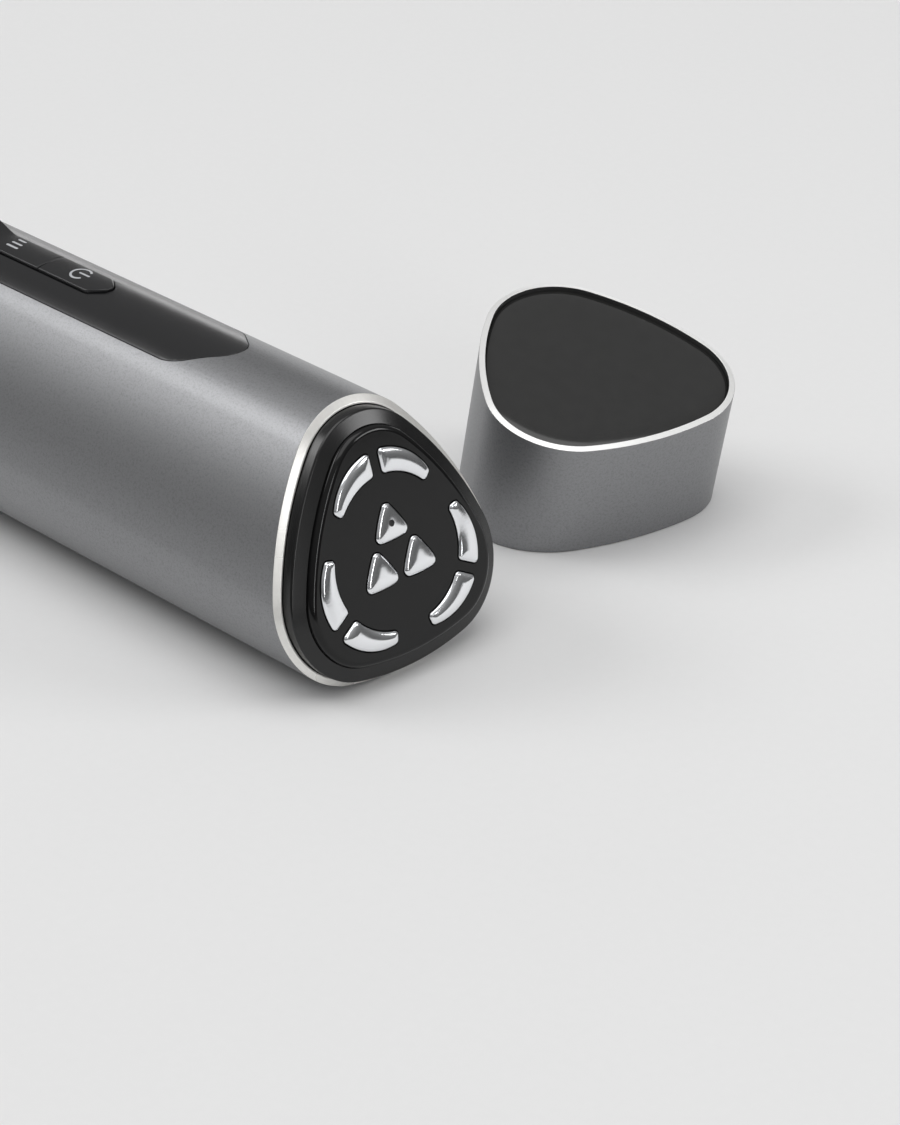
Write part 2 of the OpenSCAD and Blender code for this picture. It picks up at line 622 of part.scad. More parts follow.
module key_places() for (i = [0:2]) translate([-key_starts[i] - key_lens[i] / 2, 0, 0]) children();
module key_board() color(board_green) handle() difference() {
    block(boss_x[0] - 2.2, boss_x[1] + 2.2, key_board_w, key_board_z, key_board_top);
    boss_places() translate([0, 0, key_board_z - 1]) cylinder(r = 0.8, h = board_t + 2);
}
module key_switches() color(steel) handle() key_places() translate([0, 0, key_board_top]) {
    linear_extrude(switch_h - 0.7) square(4.2, center = true);
    translate([0, 0, switch_h - 0.7 - eps]) cylinder(r = 1.1, h = 0.7 + eps);
}
module key_lights() color([0.95, 0.95, 0.85]) handle() key_places()
    translate([5, 0, key_board_top]) linear_extrude(0.7) square(1.6, center = true);
module key_ribbon() color([0.75, 0.6, 0.25]) handle() translate([-key_front - strip_len, 0, 0])
    block(0, ribbon_t, 8, board_top, key_board_z);
module key_board_screws() color(steel) handle() boss_places() {
    translate([0, 0, key_board_z - 0.9]) cylinder(r = 1.5, h = 0.9);
    translate([0, 0, key_board_z - eps]) cylinder(r = 0.65, h = board_t + 3);
}

// Tail: frame screwed to the chassis, its sealing ring, the outer plate and the charging socket
module rounded_slot(w, h) polygon(filleted([[w / 2, -h / 2], [w / 2, h / 2], [-w / 2, h / 2], [-w / 2, -h / 2]],
    [0.49 * h, 0.49 * h, 0.49 * h, 0.49 * h], 8));
module at_tail(x) along_axis() translate([0, 0, x]) children();
module socket_way(clear) at_tail(-tube_len - 1) translate([0, socket_z, 0])
    linear_extrude(tail_frame_back + tube_len + 2) rounded_slot(socket_w + 2 * clear, socket_h + 2 * clear);

module tail_frame() color(matt_black) handle() difference() {
    bar(collar_in, tail_plate_back, tail_frame_back);
    difference() {
        bar(0, tail_plate_back + tail_groove_x, tail_frame_back - tail_groove_x);
        bar(collar_in + seal_d, tail_plate_back, tail_frame_back);
    }
    socket_way(fit);
    for (s = [-1, 1]) at_tail(tail_plate_back) translate(tail_screw_at(s)) {
        translate([0, 0, -1]) cylinder(r = tail_screw_head_r + fit, h = tail_screw_head_h + 1);
        cylinder(r = tail_screw_r + fit, h = tail_frame_t + 1);
    }
}
module tail_seal() color(matt_black) handle() difference() {
    bar(wall, tail_plate_back + tail_groove_x, tail_frame_back - tail_groove_x);
    bar(collar_in + seal_d, tail_plate_back, tail_frame_back);
}
module tail_plate() color(gloss_black) handle() difference() {
    bar(collar_in, tail_recess - tube_len, tail_plate_back);
    socket_way(fit);
}
module tail_screws() color(steel) handle() for (s = [-1, 1]) at_tail(tail_plate_back) translate(tail_screw_at(s)) {
    cylinder(r = tail_screw_head_r, h = tail_screw_head_h);
    translate([0, 0, tail_screw_head_h - eps]) cylinder(r = tail_screw_r, h = 4.5);
}
module charging_socket() color(steel) handle() at_tail(socket_mouth) translate([0, socket_z, 0]) {
    difference() {
        linear_extrude(socket_len) rounded_slot(socket_w, socket_h);
        translate([0, 0, -1]) linear_extrude(socket_len - 0.5)
            rounded_slot(socket_w - 2 * socket_wall, socket_h - 2 * socket_wall);
    }
    translate([-tongue_w / 2, -tongue_t / 2, 1]) cube([tongue_w, tongue_t, socket_len - 2]);
}

// Cap: shell with a blind end, the plate let into it and the liner
liner_in = wall + fit;
liner_start = collar_x + 0.6;
cap_floor = cap_len - cap_recess - cap_end;
module cap_shell() color(anodised) standing_cap() difference() {
    loft([rim_ring(0, 0), square_ring(0, cap_len - cap_bevel_h), square_ring(cap_bevel_w, cap_len)]);
    loft([rim_ring(wall, -2), square_ring(wall, cap_floor)]);
    translate([0, 0, cap_len - cap_recess]) linear_extrude(cap_recess + 1) polygon(section(cap_rim));
}
cap_plate_in = cap_rim + cap_gap;
module cap_plate() color(gloss_black) standing_cap() loft([
    square_ring(cap_plate_in, cap_len - cap_recess), square_ring(cap_plate_in, cap_len - 0.9),
    square_ring(cap_plate_in + 0.5, cap_len - 0.45), square_ring(cap_plate_in + 1.5, cap_len - 0.3)]);
module cap_liner() color(matt_black) standing_cap() difference() {
    loft([rim_ring(liner_in, liner_start), square_ring(liner_in, cap_floor)]);
    loft([rim_ring(liner_in + liner_t, liner_start - 2), square_ring(liner_in + liner_t, cap_floor - liner_t)]);
}

tube_shell();
head_collar();
head_seal();
face_plate();
arc_electrode(1);  // arc_electrode_1
arc_electrode(2);  // arc_electrode_2
arc_electrode(3);  // arc_electrode_3
arc_electrode(4);  // arc_electrode_4
arc_electrode(5);  // arc_electrode_5
arc_electrode(6);  // arc_electrode_6
centre_electrode(1);  // centre_electrode_1
centre_electrode(2);  // centre_electrode_2
centre_electrode(3);  // centre_electrode_3
skin_sensor();
electrode_carrier();
electrode_board();
electrode_screws();
inner_chassis();
main_board();
processor_chip();
board_capacitors();
power_inductor();
output_transformer();
head_connector();
head_ribbon();
battery_cell();
battery_contacts();
vibration_motor();
control_panel();
power_button();
level_button();
mode_button();
key_board();
key_switches();
key_lights();
key_ribbon();
key_board_screws();
tail_frame();
tail_seal();
tail_plate();
tail_screws();
charging_socket();
cap_shell();
cap_plate();
cap_liner();
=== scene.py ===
"""Facial lifting device: a rounded-triangle handle on its side, with its cap standing beside it.

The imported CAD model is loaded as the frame. The pieces in view are modelled again with smooth surfaces,
and every other CAD node keeps its mesh and gets its finish here. Sizes are in millimetres until a piece is
placed.
"""

from __future__ import annotations

import logging
import math
from dataclasses import dataclass, replace
from enum import Enum
from itertools import product
from typing import Callable, Iterable, Sequence, TypeVar

import bmesh
import bpy
from mathutils import Matrix, Vector
from mathutils.geometry import intersect_point_line
from mathutils.kdtree import KDTree

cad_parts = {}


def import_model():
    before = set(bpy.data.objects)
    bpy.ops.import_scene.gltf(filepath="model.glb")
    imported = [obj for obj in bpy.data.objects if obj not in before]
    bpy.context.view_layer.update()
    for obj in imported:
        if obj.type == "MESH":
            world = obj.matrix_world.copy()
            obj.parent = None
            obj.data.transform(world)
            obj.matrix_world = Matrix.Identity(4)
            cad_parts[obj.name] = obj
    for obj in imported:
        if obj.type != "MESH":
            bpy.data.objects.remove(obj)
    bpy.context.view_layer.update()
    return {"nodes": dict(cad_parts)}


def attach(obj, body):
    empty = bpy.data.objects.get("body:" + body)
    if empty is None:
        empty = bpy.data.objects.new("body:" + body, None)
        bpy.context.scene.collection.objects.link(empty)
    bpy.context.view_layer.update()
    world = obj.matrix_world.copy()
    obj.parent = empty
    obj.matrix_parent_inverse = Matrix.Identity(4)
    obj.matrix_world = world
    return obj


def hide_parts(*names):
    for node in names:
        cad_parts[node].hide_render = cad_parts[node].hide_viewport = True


LOG = logging.getLogger("facial_lifting_device")
MM = 0.001
WELD = 1e-6  # slivers of a carved piece, in metres
NEAR = 1e-4  # points that count as lying in a plane
MEET = 1e-3  # ends of an outline that meet
CREASE_ANGLE = 35.0  # degrees past which shading breaks
TOP_ANGLE = 40.0  # degrees past which the edges of a top are rounded
TOP_ROUND = 0.16
PIN_SIDES = 24
APART = 100.0  # distance between outlines while they are bridged

Ring = list[bmesh.types.BMEdge]
Part = TypeVar("Part")


class Body(Enum):
    """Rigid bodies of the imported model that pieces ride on."""

    HANDLE = "handle"
    POWER = "power_button"
    LEVEL = "level_button"
    MODE = "mode_button"
    CAP = "cap"


class Slot(Enum):
    """Names of the record's material slots. Each new piece keeps one, and its finish is given apart from it.
    """

    ALUMINIUM = "anodised_aluminium"
    GLOSS = "gloss_black"
    PANEL = "panel_black"
    KEY = "key_black"
    CHROME = "polished_chrome"
    LIGHT = "light_resin"


# Finishes


def map_range(tree: bpy.types.NodeTree, span: tuple[float, float], low: float,
              high: float) -> bpy.types.Node:
    """Adds a node that maps a span of a value to numbers between low and high.

    Args:
        tree: the tree that it is added to.
        span: the part of the value that is used.
        low: result at the start of the span.
        high: result at its end.

    Returns:
        The node.
    """
    node = tree.nodes.new("ShaderNodeMapRange")
    for name, value in zip(("From Min", "From Max", "To Min", "To Max"), (*span, low, high)):
        node.inputs[name].default_value = value
    return node


class Shader:
    """Lays out the node tree of one material around its Principled BSDF."""

    def __init__(self, name: str) -> None:
        """Starts an empty tree.

        Args:
            name: the material's name.
        """
        self.material = bpy.data.materials.new(name)
        self.material.use_nodes = True
        self.tree = self.material.node_tree
        self.tree.nodes.clear()
        self.surface = self.tree.nodes.new("ShaderNodeBsdfPrincipled")
        output = self.tree.nodes.new("ShaderNodeOutputMaterial")
        self.link(self.surface.outputs["BSDF"], output.inputs["Surface"])
        self.place = self.tree.nodes.new("ShaderNodeTexCoord").outputs["Object"]

    def link(self, source: bpy.types.NodeSocket, target: bpy.types.NodeSocket) -> None:
        """Links two sockets."""
        self.tree.links.new(source, target)

    def setting(self, **values: float | tuple[float, ...]) -> None:
        """Sets sockets of the surface by name, with underscores for spaces."""
        for key, value in values.items():
            self.surface.inputs[key.replace("_", " ").title().replace("Ior", "IOR")].default_value = value

    def noise(self, grain_mm: float, detail: float = 2.0,
              stretch: Sequence[float] = (1, 1, 1)) -> bpy.types.NodeSocket:
        """Adds a noise on object coordinates.

        Args:
            grain_mm: size of its grains.
            detail: octaves of finer noise.
            stretch: factors on the three axes, above 1 for shorter grains.

        Returns:
            The noise's factor socket.
        """
        mapping = self.tree.nodes.new("ShaderNodeMapping")
        mapping.inputs["Scale"].default_value = tuple(stretch)
        self.link(self.place, mapping.inputs["Vector"])
        noise = self.tree.nodes.new("ShaderNodeTexNoise")
        noise.inputs["Scale"].default_value = 1 / (grain_mm * MM)
        noise.inputs["Detail"].default_value = detail
        self.link(mapping.outputs["Vector"], noise.inputs["Vector"])
        return noise.outputs["Fac"]

    def ramp(self, source: bpy.types.NodeSocket, low: float, high: float,
             span: tuple[float, float] = (0.3, 0.7)) -> bpy.types.NodeSocket:
        """Maps a factor to numbers between low and high.

        Args:
            source: the factor.
            low: result at the start of the span.
            high: result at its end.
            span: the part of the factor that is used.

        Returns:
            The mapped socket.
        """
        node = map_range(self.tree, span, low, high)
        self.link(source, node.inputs["Value"])
        return node.outputs["Result"]

    def tint(self, source: bpy.types.NodeSocket, dark: Sequence[float], light: Sequence[float]) -> None:
        """Drives the base colour between two tints by a factor.

        Args:
            source: the factor, 0 to 1.
            dark: colour at 0.
            light: colour at 1.
        """
        node = self.tree.nodes.new("ShaderNodeMix")
        node.data_type = "RGBA"
        for name, color in (("A", dark), ("B", light)):
            socket = next(s for s in node.inputs if s.name == name and s.type == "RGBA")
            socket.default_value = (*color, 1)
        self.link(source, node.inputs["Factor"])
        self.link(next(s for s in node.outputs if s.type == "RGBA"), self.surface.inputs["Base Color"])

    def bump(self, source: bpy.types.NodeSocket, depth_mm: float, strength: float) -> None:
        """Adds surface relief.

        Args:
            source: the height, 0 to 1.
            depth_mm: depth of the relief.
            strength: how much of it shows.
        """
        node = self.tree.nodes.new("ShaderNodeBump")
        node.inputs["Distance"].default_value = depth_mm * MM
        node.inputs["Strength"].default_value = strength
        self.link(source, node.inputs["Height"])
        self.link(node.outputs["Normal"], self.surface.inputs["Normal"])


@dataclass(frozen=True)
class Finish:
    """A finish with grained colour, uneven roughness and fine relief, on object coordinates."""

    name: str
    color: tuple[float, float, float]
    metallic: float = 0.0
    roughness: float = 0.5
    uneven: float = 0.04
    shade: float = 0.85
    grain_mm: float = 0.4
    relief_mm: float = 0.01
    relief: float = 0.1
    ior: float = 1.5
    stretch: tuple[float, float, float] = (1, 1, 1)
    clouds: float = 25.0

    def material(self) -> bpy.types.Material:
        """Returns the material, made once."""
        return bpy.data.materials.get(self.name) or self.make()

    def make(self) -> bpy.types.Material:
        """Builds the material's nodes.

        Returns:
            The new material.
        """
        shader = Shader(self.name)
        shader.setting(metallic=self.metallic, ior=self.ior)
        grain = shader.noise(self.grain_mm, 3, self.stretch)
        shader.tint(shader.ramp(grain, 0, 1), [c * self.shade for c in self.color], self.color)
        cloud = shader.noise(self.grain_mm * self.clouds, 2)
        spread = shader.ramp(cloud, max(self.roughness - self.uneven, 0.01), self.roughness + self.uneven)
        shader.link(spread, shader.surface.inputs["Roughness"])
        shader.bump(grain, self.relief_mm, self.relief)
        return shader.material


@dataclass(frozen=True)
class BlastedAluminium(Finish):
    """Bead-blasted and anodised aluminium, whose tiny dents sparkle."""

    sparkle_mm: float = 0.2
    sparkle: float = 0.8
    dent_span: tuple[float, float] = (0.55, 0.95)

    def make(self) -> bpy.types.Material:
        """Builds the blasted surface from a coarse and a fine dent pattern.

        Returns:
            The new material.
        """
        shader = Shader(self.name)
        shader.setting(metallic=self.metallic)
        fine = shader.noise(self.sparkle_mm, 2)
        coarse = shader.noise(self.grain_mm, 3)
        both = shader.tree.nodes.new("ShaderNodeMath")
        both.operation = "MULTIPLY_ADD"
        shader.link(fine, both.inputs[0])
        both.inputs[1].default_value = self.sparkle
        shader.link(coarse, both.inputs[2])
        dents = shader.ramp(both.outputs["Value"], 0, 1, self.dent_span)
        shader.tint(dents, [c * self.shade for c in self.color], self.color)
        spread = shader.ramp(fine, self.roughness + self.uneven, self.roughness - self.uneven)
        shader.link(spread, shader.surface.inputs["Roughness"])
        shader.bump(both.outputs["Value"], self.relief_mm, self.relief)
        return shader.material


# Each row gives the name, colour, metallic, roughness, uneven, shade, grain_mm, relief_mm, relief and ior.
BLASTED = BlastedAluminium("blasted_aluminium", (0.30, 0.303, 0.311), 1.0, 0.44, 0.04, 0.78, 0.5, 0.02, 0.5)
# The cut edges are polished metal with a share of diffuse white that paints their highlight on; the cap's
# edge is a paler copy.
CUT_EDGE_PAINTED_SHEEN = Finish("cut_edge_painted_sheen", (0.84, 0.83, 0.80), 0.6, 0.3, 0.03, 0.95, 0.8, 0.002, 0.1)
CAP_EDGE_PAINTED_SHEEN = Finish("cap_edge_painted_sheen", (0.93, 0.93, 0.92), 0.4, 0.32, 0.03, 0.97, 0.8, 0.002, 0.1)
PIANO_BLACK = Finish("piano_black", (0.005, 0.005, 0.0052), 0.0, 0.09, 0.02, 0.8, 3.0, 0.0005, 0.03, 1.38)
COLLAR_BLACK = Finish("collar_black", (0.004, 0.004, 0.0042), 0.0, 0.22, 0.02, 0.8, 3.0, 0.0005, 0.03)
CAP_BLACK = Finish("cap_plate_black", (0.02, 0.02, 0.0195), 0.0, 0.13, 0.02, 0.85, 3.0, 0.0005, 0.03)
SATIN_BLACK = Finish("satin_black", (0.010, 0.010, 0.011), 0.0, 0.24, 0.02, 0.8, 0.3, 0.002, 0.1)
CHROME = Finish("polished_chrome", (0.51, 0.513, 0.52), 1.0, 0.035, 0.012, 0.97, 2.5, 0.0005, 0.03)
PRINT_WHITE = Finish("printed_symbol", (0.5, 0.51, 0.53), 0.0, 0.45, 0.03, 0.93, 0.2, 0.004, 0.1)
# Black rubber of the real seals; on the cap's recess wall it is painted shade of the gap round the plate.
SEAL_RUBBER_AND_GAP_SHADE = Finish("seal_rubber", (0.012, 0.012, 0.012), 0.0, 0.7, 0.05, 0.8, 0.3, 0.02, 0.3)
MOULDED_BLACK = Finish("moulded_black", (0.03, 0.03, 0.032), 0.0, 0.5, 0.06, 0.85, 0.35, 0.02, 0.3)
MOULDED_WHITE = Finish("moulded_white", (0.62, 0.62, 0.6), 0.0, 0.5, 0.06, 0.93, 0.5, 0.02, 0.2)
SOLDER_MASK = Finish("solder_mask", (0.02, 0.14, 0.06), 0.0, 0.32, 0.05, 0.7, 0.9, 0.01, 0.2)
STEEL = Finish("plain_steel", (0.5, 0.5, 0.52), 1.0, 0.32, 0.05, 0.85, 0.25, 0.01, 0.3, stretch=(1, 6, 1))
BRASS = Finish("spring_brass", (0.62, 0.43, 0.16), 1.0, 0.3, 0.05, 0.85, 0.3, 0.01, 0.2)
CHIP = Finish("chip_resin", (0.02, 0.02, 0.021), 0.0, 0.55, 0.05, 0.8, 0.25, 0.01, 0.3)
FERRITE = Finish("ferrite_brown", (0.055, 0.045, 0.04), 0.0, 0.6, 0.05, 0.75, 0.3, 0.02, 0.4)
SLEEVE = Finish("capacitor_sleeve", (0.015, 0.02, 0.05), 0.0, 0.3, 0.04, 0.85, 0.6, 0.006, 0.2)
FILM = Finish("ribbon_film", (0.35, 0.19, 0.035), 0.0, 0.3, 0.04, 0.85, 0.4, 0.005, 0.2, stretch=(1, 5, 1))
CELL = Finish("cell_sleeve", (0.02, 0.075, 0.24), 0.0, 0.28, 0.04, 0.9, 0.8, 0.008, 0.2)
LIGHT_RESIN = Finish("light_resin", (0.75, 0.72, 0.52), 0.0, 0.35, 0.04, 0.95, 0.3, 0.004, 0.1)

NODE_FINISHES: dict[str, Finish] = {
    "head_seal": SEAL_RUBBER_AND_GAP_SHADE, "tail_seal": SEAL_RUBBER_AND_GAP_SHADE, "skin_sensor": CHIP, "electrode_carrier": MOULDED_BLACK,
    "electrode_board": SOLDER_MASK, "electrode_screws": STEEL, "inner_chassis": MOULDED_WHITE,
    "main_board": SOLDER_MASK, "processor_chip": CHIP, "board_capacitors": SLEEVE, "power_inductor": CHIP,
    "output_transformer": FERRITE, "head_connector": MOULDED_WHITE, "head_ribbon": FILM, "key_ribbon": FILM,
    "battery_cell": CELL, "battery_contacts": BRASS, "vibration_motor": STEEL, "key_board": SOLDER_MASK,
    "key_switches": STEEL, "key_lights": LIGHT_RESIN, "key_board_screws": STEEL, "tail_frame": MOULDED_BLACK,
    "tail_plate": PIANO_BLACK, "tail_screws": STEEL, "charging_socket": STEEL, "cap_liner": MOULDED_BLACK,
}


# Shared geometry


def unique(items: Iterable[Part]) -> list[Part]:
    """The items without repeats, in their order, so that every run makes the same mesh."""
    return list(dict.fromkeys(items))


@dataclass(frozen=True)
class Section:
    """Rounded triangle with bulging sides, one corner up, that the handle and the cap share."""

    tip_r: float = 27.5
    corner_r: float = 16.2
    side_r: float = 61.0
    corner_steps: int = 26
    side_steps: int = 14

    @property
    def corner_c(self) -> float:
        """Distance from the axis to the centre of a corner's arc."""
        return self.tip_r - self.corner_r

    @property
    def side_half(self) -> float:
        """Half the angle of a side's arc."""
        return math.asin(math.sqrt(3) / 2 * self.corner_c / (self.side_r - self.corner_r))

    @property
    def side_c(self) -> float:
        """Distance from the axis to the centre of a side's arc."""
        return (self.side_r - self.corner_r) * math.cos(self.side_half) - self.corner_c / 2

    def crown(self, across: float) -> float:
        """Height of the ridge's round at a distance across it."""
        return self.corner_c + math.sqrt(self.corner_r**2 - across**2)

    def trace(self, bm: bmesh.types.BMesh, inset: float, seat: Matrix) -> Ring:
        """Draws the outline as a closed ring of edges, by spinning one vertex round each arc's centre.

        Args:
            bm: the mesh that is drawn in.
            inset: distance inwards from the outer surface.
            seat: where the outline's plane goes. It starts in the plane of Y and Z.

        Returns:
            The ring's edges.
        """
        known = set(bm.verts)
        angle = math.pi / 2 - (math.pi / 3 - self.side_half)
        radius = self.corner_r - inset
        pen = bm.verts.new((0, radius * math.cos(angle), self.corner_c + radius * math.sin(angle)))
        for turn in range(3):
            corner = math.radians(90 + 120 * turn)
            side = math.radians(150 + 120 * turn)
            arcs = ((self.corner_c, corner, 2 * (math.pi / 3 - self.side_half), self.corner_steps),
                    (-self.side_c, side, 2 * self.side_half, self.side_steps))
            for distance, heading, sweep, steps in arcs:
                centre = (0, distance * math.cos(heading), distance * math.sin(heading))
                spun = bmesh.ops.spin(bm, geom=[pen], cent=centre, axis=(1, 0, 0), angle=sweep, steps=steps)
                pen = next(e for e in spun["geom_last"] if isinstance(e, bmesh.types.BMVert))
        return close_ring(bm, [v for v in bm.verts if v not in known], seat)


def close_ring(bm: bmesh.types.BMesh, verts: list[bmesh.types.BMVert], seat: Matrix) -> Ring:
    """Joins the ends of a drawn outline and puts it in its place.

    Args:
        bm: the mesh.
        verts: the outline's vertices, the first and last of which lie together.
        seat: the outline's place.

    Returns:
        The ring's edges.
    """
    bmesh.ops.remove_doubles(bm, verts=verts, dist=MEET)
    alive = [v for v in verts if v.is_valid]
    bmesh.ops.transform(bm, matrix=seat, verts=alive)
    return unique(e for v in alive for e in v.link_edges)


SECTION = Section()
TILT = math.radians(15.5)
ROLL = math.radians(2.0)
COLLAR_X = 3.1
RIM_POINT = (78.8072, -35.8981)


def square_seat(along: float) -> Matrix:
    """Place of an outline square to the handle's axis."""
    return Matrix.Translation((along, 0, 0))


def rim_seat(along: float) -> Matrix:
    """Place of an outline parallel to the oblique rim, at a distance along the axis."""
    return Matrix(((1, 0, -math.tan(TILT), along), (0, 1, 0, 0), (0, 0, 1, 0), (0, 0, 0, 1)))


def head_seat(height: float) -> Matrix:
    """Place of an outline parallel to the rim, at a height square to it above the collar's edge."""
    lift = Matrix.Translation((height * math.cos(TILT), 0, height * math.sin(TILT)))
    return lift @ rim_seat(COLLAR_X)


def pattern_seat(height: float) -> Matrix:
    """Place of the electrodes' plane, whose X and Y run across and up the face, as its Z leaves it."""
    turn = Matrix(((0, 0, 1, 0), (1, 0, 0, 0), (0, 1, 0, 0), (0, 0, 0, 1)))
    face = Matrix.Translation((COLLAR_X, 0, 0)) @ Matrix.Rotation(-TILT, 4, "Y") @ turn
    return face @ Matrix.Translation((0, 0, height))


HANDLE_SEAT = (Matrix.Scale(MM, 4)
               @ Matrix.Translation((*RIM_POINT, SECTION.side_r - SECTION.side_c * math.cos(ROLL)))
               @ Matrix.Rotation(ROLL, 4, "X"))
CAP_POINT = (-23.2, 73.2)
CAP_TURN = math.radians(-13.5)
CAP_SEAT = (Matrix.Scale(MM, 4)
            @ Matrix.Translation((RIM_POINT[0] + CAP_POINT[0], RIM_POINT[1] + CAP_POINT[1], 0))
            @ Matrix.Rotation(CAP_TURN, 4, "Z") @ Matrix.Rotation(TILT - math.pi / 2, 4, "Y"))


@dataclass(frozen=True)
class Station:
    """One outline of a lofted shell, and the finish of the band that follows it."""

    inset: float
    seat: Matrix
    band: int = 0


def loft(bm: bmesh.types.BMesh, section: Section, stations: Sequence[Station], looped: bool) -> None:
    """Bridges outlines into a closed shell.

    They are bridged on one axis, well apart, and then moved to their seats.

    Args:
        bm: the mesh.
        section: the outline's form.
        stations: the outlines in order.
        looped: whether the last is bridged to the first. Otherwise both ends are filled.
    """
    apart = [Matrix.Translation((APART * k, 0, 0)) for k in range(len(stations))]
    rings = [section.trace(bm, station.inset, place) for station, place in zip(stations, apart)]
    following = rings[1:] + rings[:1] if looped else rings[1:]
    for station, ring, after in zip(stations, rings, following):
        for face in bmesh.ops.bridge_loops(bm, edges=ring + after)["faces"]:
            face.material_index = station.band
    for station, ring, place in zip(stations, rings, apart):
        verts = unique(v for e in ring for v in e.verts)
        bmesh.ops.transform(bm, matrix=station.seat @ place.inverted(), verts=verts)
    if not looped:
        for ring in (rings[0], rings[-1]):
            bmesh.ops.contextual_create(bm, geom=ring)
    bmesh.ops.recalc_face_normals(bm, faces=bm.faces)


def round_edges(bm: bmesh.types.BMesh, width: float, segments: int = 3, least: float = 18.0,
                chosen: Callable[[bmesh.types.BMEdge], bool] = lambda edge: True) -> None:
    """Rounds every chosen edge whose faces meet at more than an angle.

    Args:
        bm: the mesh.
        width: width of the rounding on each side.
        segments: faces across it.
        least: the angle in degrees.
        chosen: says which edges count.
    """
    sharp = [e for e in bm.edges if e.is_manifold and e.calc_face_angle() > math.radians(least) and chosen(e)]
    bmesh.ops.bevel(bm, geom=sharp, offset=width, offset_type="OFFSET", segments=segments, profile=0.5,
                    affect="EDGES", material=-1, clamp_overlap=True)


def cut_across(bm: bmesh.types.BMesh, normal: Vector, positions: Iterable[float]) -> None:
    """Cuts every face by parallel planes, so that it can follow a curve.

    Args:
        bm: the mesh.
        normal: the planes' normal.
        positions: their distances from the origin.
    """
    for position in positions:
        bmesh.ops.bisect_plane(bm, geom=bm.verts[:] + bm.edges[:] + bm.faces[:], dist=NEAR,
                               plane_co=normal * position, plane_no=normal)


def smooth_step(share: float) -> float:
    """Eases a share from 0 to 1."""
    held = min(max(share, 0.0), 1.0)
    return held * held * (3 - 2 * held)


def steps_between(low: float, high: float, size: float) -> list[float]:
    """Evenly spaced positions between two limits, without the limits."""
    count = max(2, math.ceil((high - low) / size))
    return [low + (high - low) * k / count for k in range(1, count)]


def edge_loop(bm: bmesh.types.BMesh, points: Sequence[tuple[float, float]], height: float = 0.0) -> Ring:
    """Draws a closed ring through a few points.

    Args:
        bm: the mesh.
        points: corners in the plane.
        height: its height.

    Returns:
        The ring's edges.
    """
    verts = [bm.verts.new((*point, height)) for point in points]
    return [bm.edges.new((a, b)) for a, b in zip(verts, verts[1:] + verts[:1])]


def fill(bm: bmesh.types.BMesh, ring: Ring) -> bmesh.types.BMFace:
    """Fills a flat ring with one face that looks up.

    Args:
        bm: the mesh.
        ring: the ring's edges.

    Returns:
        The face.
    """
    face = bmesh.ops.contextual_create(bm, geom=ring)["faces"][0]
    if face.normal.z < 0:
        face.normal_flip()
    return face


def lift(bm: bmesh.types.BMesh, faces: Sequence[bmesh.types.BMFace], height: float) -> None:
    """Extrudes faces as one region and lifts the new ones.

    Args:
        bm: the mesh.
        faces: the faces.
        height: how far they are lifted.
    """
    raised = bmesh.ops.extrude_face_region(bm, geom=list(faces))["geom"]
    verts = [g for g in raised if isinstance(g, bmesh.types.BMVert)]
    bmesh.ops.translate(bm, vec=(0, 0, height), verts=verts)


def block(bm: bmesh.types.BMesh, size: Sequence[float], at: Sequence[float]) -> None:
    """Adds a box of a size, centred on a point."""
    bmesh.ops.create_cube(bm, size=1, matrix=Matrix.Translation(at) @ Matrix.Diagonal((*size, 1)))


def pin(bm: bmesh.types.BMesh, radius: float, length: float, at: Sequence[float],
        sides: int = PIN_SIDES) -> None:
    """Adds an upright round pin.

    Args:
        bm: the mesh.
        radius: its radius.
        length: its length.
        at: its centre.
        sides: faces round it.
    """
    bmesh.ops.create_cone(bm, cap_ends=True, segments=sides, radius1=radius, radius2=radius, depth=length,
                          matrix=Matrix.Translation(at))


def on_top(edge: bmesh.types.BMEdge) -> bool:
    """Whether an edge lies in the top of a flat piece, at height 0."""
    return min(v.co.z for v in edge.verts) > -NEAR


def put(name: str, data: bpy.types.ID) -> bpy.types.Object:
    """Adds an object to the scene.

    Args:
        name: its name.
        data: its mesh, lamp or camera.

    Returns:
        The object.
    """
    placed = bpy.data.objects.new(name, data)
    bpy.context.scene.collection.objects.link(placed)
    return placed


class Outline:
    """A drawn ring at height 0 that says how far inside it a point lies."""

    def __init__(self, ring: Ring) -> None:
        """Keeps the ring's corners and sides.

        Args:
            ring: its edges.
        """
        corners = unique(v for e in ring for v in e.verts)
        self.tree = KDTree(len(corners))
        self.sides = []
        for number, corner in enumerate(corners):
            self.tree.insert(corner.co, number)
            self.sides.append([(corner.co.copy(), e.other_vert(corner).co.copy()) for e in corner.link_edges])
        self.tree.balance()

    def distance(self, point: Vector) -> float:
        """Distance from a point to the ring, seen from above.

        Args:
            point: the point.

        Returns:
            The distance to the nearest side.
        """
        flat = Vector((point.x, point.y, 0))
        near = []
        for start, end in self.sides[self.tree.find(flat)[1]]:
            share = min(max(intersect_point_line(flat, start, end)[1], 0.0), 1.0)
            near.append((flat - start.lerp(end, share)).length)
        return min(near)


